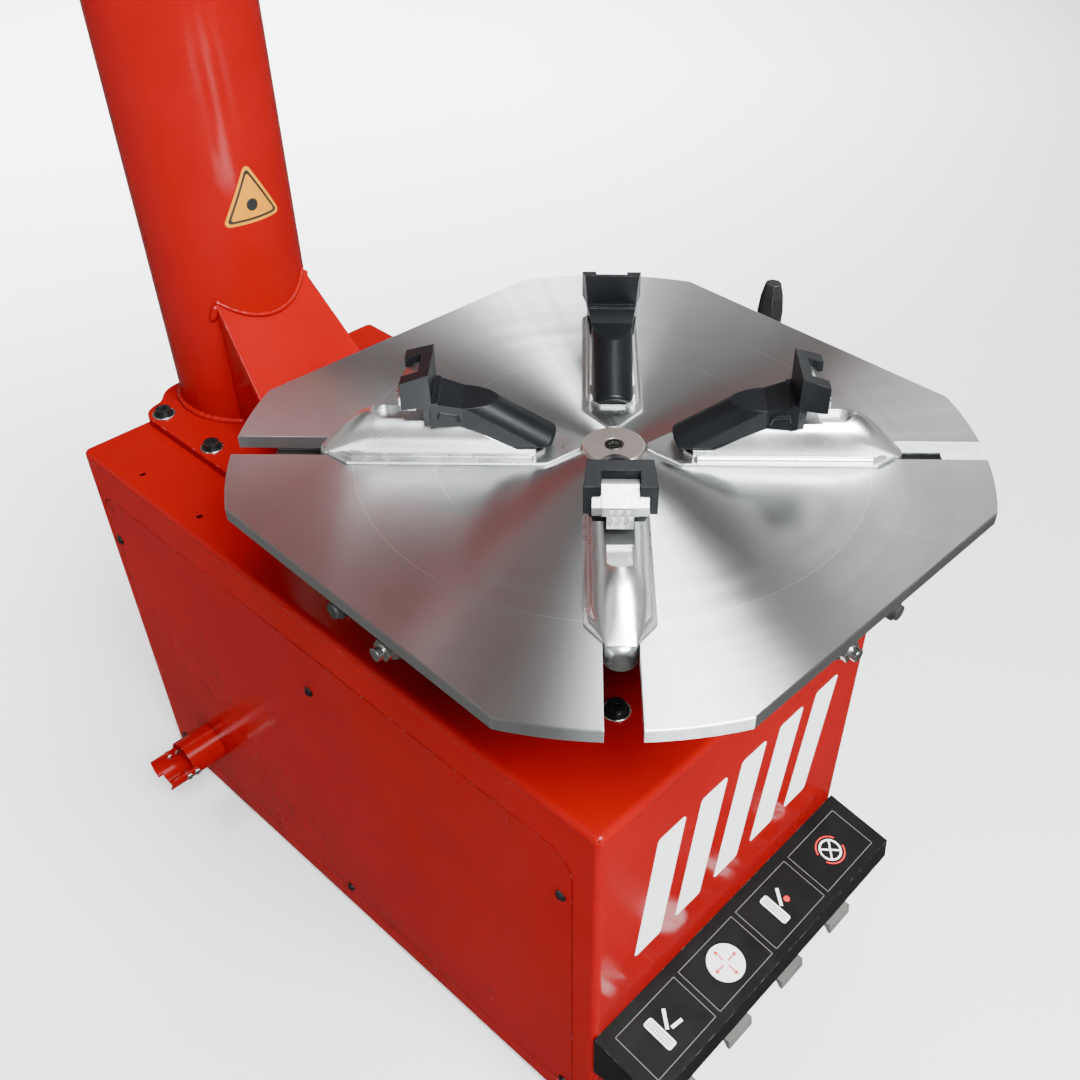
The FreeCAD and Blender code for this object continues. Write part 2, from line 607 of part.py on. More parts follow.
def make_arm():
    """Swing arm, built along +X from the column axis and turned to its parked angle."""
    level = size("arm_level")
    reach = size("arm_reach")
    collar = Part.makeCylinder(104, 140, Vector(0, 0, level - 70))
    beam = Part.makeBox(reach - 60, 76, 96, Vector(40, -38, level - 48))
    beam = beam.makeFillet(10, [e for e in beam.Edges if abs(e.Vertexes[0].X - e.Vertexes[1].X) > 1])
    web = prism([(90, level - 46), (90, level - 69), (330, level - 46)], 12)
    web.rotate(Vector(0, 0, 0), Vector(1, 0, 0), 90)
    web.translate(Vector(0, 6, 0))
    block = Part.makeBox(100, 100, 170, Vector(reach - 50, -50, level - 85))
    block = block.makeFillet(16, [e for e in block.Edges if abs(e.Vertexes[0].Z - e.Vertexes[1].Z) > 1])
    boss = Part.makeCylinder(17, 30, Vector(reach + 48, 0, level + 30), Vector(1, 0, 0))
    arm = collar.fuse([beam, web, block, boss])
    flats = size("hex_flats") + 2 * CLEAR
    bore = bolt_head(flats, 400).translated(Vector(reach, 0, level - 200))
    socket = Part.makeCylinder(size("column_radius") + RUNNING, size("column_top") + 0.5 - level + 72,
                               Vector(0, 0, level - 72))
    screw_bore = Part.makeCylinder(8 + RUNNING, 90, Vector(reach + 21, 0, level + 30), Vector(1, 0, 0))
    arm = arm.cut([bore, socket, screw_bore]).removeSplitter()
    place = Placement(COLUMN_AT, Rotation(Vector(0, 0, 1), size("arm_rest_turn")))
    node("swing_arm", solid("arm", arm, place))

    shaft_length = size("hex_top") - size("hex_bottom")
    shaft = bolt_head(size("hex_flats"), shaft_length).translated(Vector(reach, 0, size("hex_bottom")))
    stop = Part.makeCylinder(30, 14, Vector(reach, 0, size("hex_top") - 16))
    knob = Part.makeSphere(22, Vector(reach, 0, size("hex_top") + 12))
    node("hex_shaft", solid("tool_shaft", shaft.fuse([stop, knob]).removeSplitter(), place))

    # lock screw with a bent lever, in the block's front face
    spindle = Part.makeCylinder(8, 60, Vector(reach + 24, 0, level + 30), Vector(1, 0, 0))
    hub = Part.makeCylinder(16, 22, Vector(reach + 79, 0, level + 30), Vector(1, 0, 0))
    lever = Part.makeCylinder(7, 130, Vector(reach + 90, 0, level + 30), Vector(0.25, 0, -1))
    ball = Part.makeSphere(17, Vector(reach + 90 + 0.2425 * 130, 0, level + 30 - 0.9701 * 130))
    node("lock_lever", solid("lock", spindle.fuse([hub, lever, ball]).removeSplitter(), place))

    # mount and demount head: clamp block over a shoe with a hooked finger and a roller axle
    base = size("hex_bottom")
    hex_bore = bolt_head(size("hex_flats"), 100).translated(Vector(reach, 0, base))
    block = Part.makeCylinder(33, 64, Vector(reach, 0, base)).cut(hex_bore)
    shoe = Part.makeBox(110, 44, 18, Vector(reach - 40, -22, base - 18))
    shoe = shoe.makeFillet(8, [e for e in shoe.Edges if abs(e.Vertexes[0].Z - e.Vertexes[1].Z) > 1])
    disc = Part.makeCylinder(34, 18, Vector(reach, 0, base - 18))
    head = block.fuse([shoe, disc])
    finger_at = Vector(reach + 58, -14, base - 11)
    finger = Part.makeCylinder(11, 58, finger_at, Vector(0.15, -0.35, -0.55))
    head = head.fuse([finger, Part.makeSphere(11, finger_at)])
    axle_at = Vector(reach - 30, 10, base)
    axle = Part.makeCylinder(5, 34, axle_at + Vector(0, 0, -18), Vector(0, 0, -1))
    head = head.fuse([axle, Part.makeCylinder(9, 4, axle_at + Vector(0, 0, -54))])
    screw_at = Vector(reach - 42, 0, base + 34)
    head = head.fuse(Part.makeCylinder(8, 11, screw_at, Vector(1, 0, 0)))
    socket = bolt_head(7, 5)
    socket.rotate(Vector(0, 0, 0), Vector(0, 1, 0), 90)
    head = head.cut(socket.translated(screw_at))
    node("mount_head", solid("head", head.removeSplitter(), place))

    roller = Part.makeCylinder(14, 29, Vector(reach - 30, 10, base - 18 - 30.4))
    roller = roller.makeFillet(4, [e for e in roller.Edges if len(e.Vertexes) == 1])
    roller = roller.cut(Part.makeCylinder(5 + RUNNING, 60, Vector(reach - 30, 10, base - 60)))
    node("head_roller", solid("roller", roller, place))


# ---------------------------------------------------------------- turntable

def make_plate():
    half = size("table_side") / 2
    radius = size("table_corner_radius")
    side = math.sqrt(radius ** 2 - half ** 2)
    body = doc.addObject("PartDesign::Body", "plate_blank")
    sketch = body.newObject("Sketcher::SketchObject", "plate_outline")
    sketch.AttachmentSupport = [(origin_plane(body, "XY_Plane"), "")]
    sketch.MapMode = "FlatFace"
    corner = radius / math.sqrt(2)
    for turn in range(4):
        angle = math.radians(90 * turn)

        def spot(x, y):
            return Vector(x * math.cos(angle) - y * math.sin(angle),
                          x * math.sin(angle) + y * math.cos(angle), 0)

        sketch.addGeometry(Part.LineSegment(spot(half, -side), spot(half, side)), False)
        sketch.addGeometry(Part.Arc(spot(half, side), spot(corner, corner), spot(side, half)), False)
    pad = body.newObject("PartDesign::Pad", "plate_pad")
    pad.Profile = sketch
    pad.Reversed = True
    bind(pad, Length="$plate_thick")
    doc.recompute()
    top_edges = []
    for number, edge in enumerate(pad.Shape.Edges, start=1):
        if abs(edge.CenterOfMass.z) < 0.01:
            top_edges.append("Edge%d" % number)
    rim = body.newObject("PartDesign::Chamfer", "plate_rim")
    rim.Base = (pad, top_edges)
    rim.Size = 1.0
    doc.recompute()
    # the four slots lie on the diagonals, so the body is turned by 45 degrees for the pockets
    half_slot = size("slot_width") / 2
    inner = size("slot_inner")
    d = math.sqrt(0.5)

    def diagonal(along, across):
        return ((along - across) * d, (along + across) * d)

    outline = [diagonal(inner, -half_slot), diagonal(400, -half_slot),
               diagonal(400, half_slot), diagonal(inner, half_slot)]
    slot = pocket(body, "plate_slot", "XY_Plane", outline, 60)
    polar(body, slot, 4, "plate_slots")
    centre = pocket(body, "plate_centre", "XY_Plane", (0, 0, 9), 60)
    body.Tip = centre
    node("turntable_plate", body, table_place())

    cap = turned("cap_blank", [(0, -30), (8.9, -30), (8.9, 0.2), (29.5, 0.2), (29.5, 3.2),
                               (28, 4.6), (0, 4.6)])
    pocket(cap, "cap_recess", "XY_Plane", (0, 0, 9.5), 4, both=False, loft=5)
    bore = pocket(cap, "cap_bore", "XY_Plane", (0, 0, 6), 60)
    cap.Tip = bore
    screw = bolt(6, 20, 16, 3.4, socket=8)
    screw.translate(Vector(0, 0, 1.1))
    node("centre_cap", group("cap_and_screw", cap, solid("cap_screw", screw)),
         table_place())


def slide_outline(inner, outer):
    """Elongated hexagon of the slide's flange, with its points on the radius."""
    wide = 29
    neck = 14
    return [(inner, -4, 2), (62, -wide, 6), (242, -wide, 6), (outer, -neck, 3), (outer, neck, 3),
            (242, wide, 6), (62, wide, 6), (inner, 4, 2)]


def section_wire(along, half_width, crown, low):
    """Rounded hump section at one radius: flat foot, vertical sides, elliptical crown."""
    foot_left = Vector(along, -half_width, low)
    foot_right = Vector(along, half_width, low)
    shoulder = low + crown * 0.3
    left = Vector(along, -half_width, shoulder)
    right = Vector(along, half_width, shoulder)
    rise = low + crown - shoulder
    arch = Part.BSplineCurve()
    arch.interpolate([Vector(along, -half_width * math.cos(angle), shoulder + rise * math.sin(angle))
                      for angle in (math.radians(22.5 * k) for k in range(9))])
    return Part.Wire([Part.LineSegment(foot_left, left).toShape(), arch.toShape(),
                      Part.LineSegment(right, foot_right).toShape(),
                      Part.LineSegment(foot_right, foot_left).toShape()])


def jaw_place(corner, angle):
    """The jaw at the front left is bolted on further in than the other three."""
    inset = size("front_jaw_inset") if corner == "front_left" else 0
    return table_place(angle).multiply(moved(x=-inset))


def seat_profile(lift):
    """Side view of the seat between slide and jaw: low step, rise, level top."""
    return [(40, 12.7 + lift), (89.5, 12.7 + lift), (138, 36.4 + lift), (300, 36.4 + lift)]


def side_prism(points, half_width):
    """Solid with the given side view (radius, height), centred across the slide."""
    shape = prism(points, 2 * half_width, -half_width)
    shape.rotate(Vector(0, 0, 0), Vector(1, 0, 0), 90)
    return shape


def plan_wire(height, outline):
    """Closed outline at one height, given its -Y half as (radius, half width) points."""
    points = [Vector(x, -w, height) for x, w in outline]
    points += [Vector(x, w, height) for x, w in reversed(outline)]
    return Part.makePolygon(points + points[:1])


def end_wire(radius, low, top, half_width):
    """Upright rectangle across the slide at one radius."""
    return Part.makePolygon([Vector(radius, -half_width, low), Vector(radius, half_width, low),
                             Vector(radius, half_width, top), Vector(radius, -half_width, top),
                             Vector(radius, -half_width, low)])


def make_slide(corner, angle):
    """Slide on the plate: thin flange, tall hump, tongue in the slot, carriage and drive pin."""
    flange = body_from("flange_" + corner, "XY_Plane", slide_outline(31, 262), 2.6)
    flange.Placement = moved(z=CLEAR)
    wide = 22
    crown = 41
    length = 142
    hump = Part.Face(section_wire(72, wide, crown, 0.4)).extrude(Vector(length, 0, 0))
    # outer end: the crown rolls over and the flanks draw in towards the tongue
    stations = []
    for step in range(9):
        share = step / 8
        drop = (1 - math.cos(share * math.radians(100))) / (1 - math.cos(math.radians(100)))
        stations.append(section_wire(72 + length + 52 * share, wide - 10 * share ** 2,
                                     crown - 39 * drop, 0.4))
    hump = hump.fuse(Part.makeLoft(stations, True, False))
    above_seat = seat_profile(0)[:-1] + [(HEEL, 36.4), (HEEL, 80), (40, 80)]
    hump = hump.cut(side_prism(above_seat, 40))
    # milled pocket behind the jaw, with a round end
    pocket_end = 208
    hump = hump.cut([Part.makeBox(pocket_end - HEEL + 2, 21, 20, Vector(HEEL - 2, -10.5, 33)),
                     Part.makeCylinder(10.5, 20, Vector(pocket_end, 0, 33))])
    foot = Part.Face(plan_wire(0.4, [(64, 12), (76, 25.5), (238, 25.5), (260, 12)])).extrude(
        Vector(0, 0, 6.6))
    foot = foot.makeFillet(2.5, [edge for edge in foot.Edges if edge.BoundBox.ZMin > 6.9])
    # the tongue fills the slot in the plate and ends in a round nose
    tongue_top = CLEAR + 2.6
    tongue = Part.makeBox(198, 28, 26, Vector(60, -14, -12.5 - CLEAR - 12))
    nose = Part.makeCylinder(13.9, 23, Vector(257.5, 0, tongue_top - 23))
    nose = nose.makeFillet(7, [edge for edge in nose.Edges if edge.BoundBox.ZMin > tongue_top - 0.1])
    carriage = Part.makeBox(180, 60, 12, Vector(60, -30, -12.5 - CLEAR - 12))
    pin = Part.makeCylinder(size("pin_radius"), 90, Vector(size("pin_circle"), 0, -112))
    core = hump.fuse([foot, tongue, nose, carriage, pin])
    node("slide_" + corner, fuse("slide_joined_" + corner, flange, solid("slide_core_" + corner, core)),
         table_place(angle))


def make_jaw(corner, angle):
    """Forged jaw: arched bar that rises outward and flares into a forked head."""
    rise = 32
    half = 20
    crest = 14.8
    section = Part.Wire([
        Part.LineSegment(Vector(0, half, 0), Vector(0, half, -28)).toShape(),
        Part.LineSegment(Vector(0, half, -28), Vector(0, -half, -28)).toShape(),
        Part.LineSegment(Vector(0, -half, -28), Vector(0, -half, 0)).toShape(),
        Part.Arc(Vector(0, -half, 0), Vector(0, 0, crest), Vector(0, half, 0)).toShape()])
    bar = Part.Face(section).extrude(Vector(140, 0, 0))
    end_arc = [edge for edge in bar.Edges if edge.BoundBox.XMax < 0.01 and edge.BoundBox.ZMax > 1]
    bar = bar.makeFillet(4, [edge for edge in end_arc if edge.BoundBox.ZLength > crest - 1
                             and edge.BoundBox.YLength > half])
    bar.rotate(Vector(0, 0, 0), Vector(0, 1, 0), -rise)
    bar.translate(Vector(59.8, 0, 8.35))
    # flats filed into the top of the bar in front of the head
    filed = [(90, 53.4), (141, 54.5), (162, 61), (162, 140), (90, 140)]
    bar = bar.common(Part.makeBox(118, 60, 120, Vector(40, -30, 1))).cut(side_prism(filed, 40))
    flare = Part.makeLoft([end_wire(136, 30, 54.3, half), end_wire(164, 30, 61.6, 24.6)], True, True)
    head = Part.makeLoft([plan_wire(30, [(150, 20), (FACE, 20)]),
                          plan_wire(56, [(156, 22.5), (FACE, 29.5)]),
                          plan_wire(98, [(162, 27), (FACE - 1, 29.5)])], True, True)
    sloped_top = [(140, 99), (187.2, 84), (220, 73.6), (220, 120), (140, 120)]
    head = head.cut([side_prism(sloped_top, 40), side_prism([(140, 61.4), (162, 61.4), (162, 120),
                                                             (140, 120)], 40)])
    # the prongs overhang: below them the head is cut back
    prong_low = 58
    head = head.cut(Part.makeBox(40, 80, prong_low, Vector(170, -40, 0)))
    jaw = bar.fuse([flare, head])
    under_seat = [(30, -10), (30, 13)] + seat_profile(CLEAR)[1:] + [(300, -10)]
    jaw = jaw.cut(side_prism(under_seat, 60))
    # stepped recess between the prongs for the steel insert
    jaw = jaw.cut([Part.makeBox(30, 31, 60, Vector(RECESS - 8, -15.5, 56)),
                   Part.makeBox(30, 47, 19, Vector(RECESS, -23.5, 56))])
    # wire clip in each flank
    wire = 1.3
    for sign in (-1, 1):
        spots = [Vector(139, sign * 20.6, 41), Vector(141, sign * 21.2, 48), Vector(155, sign * 23.3, 51),
                 Vector(156.5, sign * 23.2, 46)]
        clip = []
        for start, finish in zip(spots, spots[1:]):
            run = finish - start
            clip += [Part.makeCylinder(wire, run.Length, start, run), Part.makeSphere(wire, finish)]
        jaw = jaw.fuse(clip[0].fuse(clip[1:]))
    node("jaw_" + corner, solid("jaw_body_" + corner, jaw.removeSplitter()), jaw_place(corner, angle))

    # steel insert: sloping block between the prongs with a toothed nose below
    back = RECESS - 8 + 0.4
    low = 58.4
    middle = [(back, low), (back, 81), (178, 80), (191.6, 66.5), (191.6, low)]
    insert = side_prism(middle, 15)
    shoulder = [(RECESS + 0.4, low), (RECESS + 0.4, 73.5), (184, 73.5), (190.8, 66), (190.8, low)]
    insert = insert.fuse(side_prism(shoulder, 22.6))
    nose = [(178, 46), (191.6, 46), (191.6, low + 2), (178, low + 2)]
    insert = insert.fuse(side_prism(nose, 10.8))
    tooth_pitch = 6.6
    row_pitch = 6
    teeth = []
    for row in range(3):
        for column in range(3):
            y = (column - 1) * tooth_pitch + (1 if row % 2 else -1)
            z = 64.5 - row * row_pitch
            base = Part.makePolygon([Vector(191.2, y - 2.9, z), Vector(191.2, y, z - 5.4),
                                     Vector(191.2, y + 2.9, z), Vector(191.2, y - 2.9, z)])
            tip = Part.makePolygon([Vector(195, y - 0.4, z - 2), Vector(195, y, z - 2.8),
                                    Vector(195, y + 0.4, z - 2), Vector(195, y - 0.4, z - 2)])
            teeth.append(Part.makeLoft([base, tip], True, True))
    insert = insert.fuse(teeth)
    node("jaw_insert_" + corner, solid("insert_" + corner, insert.removeSplitter()),
         jaw_place(corner, angle))


def make_guides():
    """Two rails under the plate on each side of every carriage."""
    rails = []
    low = -size("plate_thick")
    for angle in CORNERS.values():
        for sign in (-1, 1):
            y_low = 30 + CLEAR if sign > 0 else -(38 + CLEAR)
            rail = Part.makeBox(256, 8, 18, Vector(64, y_low, low - 18))
            lip_y = 20 if sign > 0 else -(38 + CLEAR)
            rail = rail.fuse(Part.makeBox(256, 18 + CLEAR, 5.4 - CLEAR, Vector(64, lip_y, low - 18)))
            rail.rotate(Vector(0, 0, 0), Vector(0, 0, 1), angle)
            rails.append(rail.removeSplitter())
    node("slide_guides", solid("guides", Part.makeCompound(rails), table_place()))


def make_cam():
    """Synchronising disc: four spiral slots turn its rotation into equal jaw travel."""
    travel = size("jaw_travel")
    turn = math.radians(size("cam_turn"))
    start = size("pin_circle")
    half_width = size("pin_radius") + 0.6
    disc = Part.makeCylinder(size("cam_radius"), size("cam_thick"), Vector(0, 0, size("cam_level")))
    disc = disc.cut(Part.makeCylinder(size("hub_radius") + RUNNING, 40, Vector(0, 0, -60)))

    def centre(share):
        theta = share * turn
        radius = start + travel * share
        return Vector(radius * math.cos(theta), -radius * math.sin(theta), 0)

    def offset(share, sign):
        step = 1e-3
        tangent = (centre(share + step) - centre(share - step)).normalize()
        normal = Vector(-tangent.y, tangent.x, 0)
        return centre(share) + normal * (sign * half_width)

    shares = [index / 12 for index in range(13)]
    left = Part.BSplineCurve()
    left.interpolate([offset(share, 1) for share in shares])
    right = Part.BSplineCurve()
    right.interpolate([offset(share, -1) for share in reversed(shares)])
    far = (centre(1) - centre(0.99)).normalize() * half_width
    near = (centre(0) - centre(0.01)).normalize() * half_width
    wire = Part.Wire([left.toShape(), Part.Arc(offset(1, 1), centre(1) + far, offset(1, -1)).toShape(),
                      right.toShape(), Part.Arc(offset(0, -1), centre(0) + near, offset(0, 1)).toShape()])
    slot = Part.Face(wire).extrude(Vector(0, 0, 60)).translated(Vector(0, 0, -80))
    for angle in CORNERS.values():
        disc = disc.cut(slot.rotated(Vector(0, 0, 0), Vector(0, 0, 1), angle))
    for quarter in range(4):
        hole = Part.makeCylinder(22, 40, Vector(88, 0, -70))
        hole.rotate(Vector(0, 0, 0), Vector(0, 0, 1), 90 * quarter + 22)
        disc = disc.cut(hole)
    node("cam_disc", solid("cam", disc, table_place()))


def make_clamp_cylinders():
    """Two air cylinders under the plate; each joins two neighbouring slides."""
    radius = size("cylinder_radius")
    level = size("cylinder_level")
    pin = size("pin_circle") / math.sqrt(2)
    pin_r = size("pin_radius") + 0.1
    shaft = size("rod_radius")
    for label, turn in (("front", 0), ("rear", 180)):
        place = table_place(turn)
        at = Vector(-pin + 15, -pin, level)
        length = 2 * pin - 15 - 22
        along = Vector(1, 0, 0)
        barrel = Part.makeCylinder(radius, length, at, along)
        barrel = barrel.fuse(Part.makeCylinder(radius + 3, 9, at, along))
        barrel = barrel.fuse(Part.makeCylinder(radius + 3, 9, at + along * (length - 9), along))
        barrel = barrel.cut(Part.makeCylinder(radius - 3, length - 14, at + along * 7, along))
        barrel = barrel.cut(Part.makeCylinder(shaft + RUNNING, 40, at + along * (length - 20), along))
        eye = Part.makeCylinder(15, 26, Vector(-pin, -pin, level - 13))
        eye = eye.fuse(Part.makeBox(18, 30, 26, Vector(-pin, -pin - 15, level - 13)))
        eye = eye.cut(Part.makeCylinder(pin_r, 80, Vector(-pin, -pin, level - 40)))
        barrel = barrel.fuse(eye).removeSplitter()
        node("clamp_cylinder_" + label, solid("barrel_" + label, barrel, place))
        piston = Part.makeCylinder(radius - 3.1, 9, at + along * 8, along)
        stem = Part.makeCylinder(shaft, 2 * pin - 15 - 8 - 4, at + along * 8, along)
        end = Part.makeCylinder(15, 26, Vector(pin, -pin, level - 13))
        end = end.cut(Part.makeCylinder(pin_r, 80, Vector(pin, -pin, level - 40)))
        stem = stem.cut(Part.makeCylinder(pin_r, 80, Vector(pin, -pin, level - 40)))
        node("clamp_rod_" + label, solid("stem_" + label,
                                         piston.fuse([stem, end]).removeSplitter(), place))


def make_brackets():
    """Hanging brackets at the middle of each side, each with a stud and an air elbow."""
    brackets = []
    studs = []
    elbows = []
    low = -size("plate_thick")
    edge = size("table_side") / 2 - 3
    for quarter, sign in ((0, 1), (1, -1), (2, 1), (3, -1)):
        shape = prism([(-46, low), (-4, low), (-8, -48), (-16, -57), (-30, -57), (-38, -48)], 6)
        shape.rotate(Vector(0, 0, 0), Vector(1, 0, 0), 90)
        shape.translate(Vector(0, -edge + 24, 0))
        flap = Part.makeBox(42, 34, 5, Vector(-46, -edge + 24, low - 5))
        shape = shape.fuse(flap).removeSplitter()
        hole = Part.makeCylinder(6.1, 60, Vector(-22, -edge - 10, -46), Vector(0, 1, 0))
        shape = shape.cut(hole)
        stud = Part.makeCylinder(6, 40, Vector(-22, -edge + 2, -46), Vector(0, 1, 0))
        nut = bolt_head(18, 9)
        nut.rotate(Vector(0, 0, 0), Vector(1, 0, 0), -90)
        nut.translate(Vector(-22, -edge + 8.9, -46))
        washer = Part.makeCylinder(12, 2, Vector(-22, -edge + 16, -46), Vector(0, 1, 0))
        stud = stud.fuse([nut, washer]).removeSplitter()
        block = Part.makeBox(22, 30, 20, Vector(10, -edge + 14, low - 20))
        elbow = Part.makeCylinder(7, 18, Vector(21, -edge + 14, low - 10), Vector(0, -1, 0))
        elbow = elbow.fuse(Part.makeCylinder(9, 8, Vector(21, -edge + 8, low - 10), Vector(0, -1, 0)))
        elbow = elbow.fuse(block).removeSplitter()
        for shape_list, item in ((brackets, shape), (studs, stud), (elbows, elbow)):
            if sign < 0:
                item = item.mirror(Vector(0, 0, 0), Vector(1, 0, 0))
            shape_list.append(item.rotated(Vector(0, 0, 0), Vector(0, 0, 1), -90 * quarter))
    place = table_place()
    node("edge_brackets", solid("brackets", Part.makeCompound(brackets), place))
    node("bracket_studs", solid("studs", Part.makeCompound(studs), place))
    node("air_elbows", solid("elbows", Part.makeCompound(elbows), place))


# ---------------------------------------------------------------- pedals

def make_pedals():
    front = -HALF_L
    reach = size("panel_reach")
    level = size("panel_level")
    drop = reach * math.tan(math.radians(size("panel_slope")))
    # side view (y, z) of the folded cover: sloping top, turned-down lip
    side = [(front, level), (front - reach, level - drop), (front - reach - 3, level - drop - 30),
            (front - reach + 0.5, level - drop - 30), (front - reach + 3.4, level - drop - 3),
            (front - 2, level - 3.6), (front - 2, level - 24), (front, level - 24)]
    cover = prism(side, 448)
    cover.rotate(Vector(0, 0, 0), Vector(1, 1, 1), 120)
    cover.translate(Vector(-224, 0, 0))
    for sign in (-1, 1):
        cheek = prism([(front, level - 1), (front - reach + 1, level - drop - 1),
                       (front - reach - 2, level - drop - 30), (front, level - 72)], 3)
        cheek.rotate(Vector(0, 0, 0), Vector(1, 1, 1), 120)
        cheek.translate(Vector(sign * 222.5 - 1.5, 0, 0))
        cover = cover.fuse(cheek)
    node("pedal_panel", solid("cover", cover.removeSplitter()))

    axis_y = size("pedal_axis_y")
    axis_z = size("pedal_axis_z")
    node("pedal_shaft", rod("shaft_bar", 8, ("-$cab_width/2 + $sheet_thick", "$pedal_axis_y",
                                             "$pedal_axis_z"),
                            "$cab_width - 2 * $sheet_thick", "x"))
    tip = -508
    width = size("pedal_width")
    for index, name in enumerate(("turn", "open", "press", "tilt")):
        x = (index - 1.5) * size("pedal_pitch")
        side = [(axis_y + 20, axis_z - 9), (axis_y + 20, axis_z + 13), (axis_y - 14, axis_z + 13),
                (axis_y - 40, axis_z - 4), (tip + 46, axis_z - 8), (tip + 10, axis_z + 2),
                (tip, axis_z + 1), (tip - 2, axis_z - 14), (tip + 1.5, axis_z - 14),
                (tip + 8, axis_z - 5.5), (tip + 44, axis_z - 15), (axis_y - 30, axis_z - 15)]
        lever = prism(side, width)
        lever.rotate(Vector(0, 0, 0), Vector(1, 1, 1), 120)
        lever.translate(Vector(x - width / 2, 0, 0))
        ribs = [Part.makeBox(width - 10, 2.4, 2, Vector(x - width / 2 + 5, tip + 14 + 7 * k,
                                                        axis_z - 0.6 - 1.9 * k)) for k in range(4)]
        lever = lever.fuse(ribs)
        sleeve = Part.makeCylinder(14, width, Vector(x - width / 2, axis_y, axis_z), Vector(1, 0, 0))
        lever = lever.fuse(sleeve)
        lever = lever.cut(Part.makeCylinder(8 + RUNNING, 500, Vector(-250, axis_y, axis_z),
                                            Vector(1, 0, 0)))
        node("pedal_" + name, solid("lever_" + name, lever.removeSplitter()))


# ---------------------------------------------------------------- bead breaker and side fittings

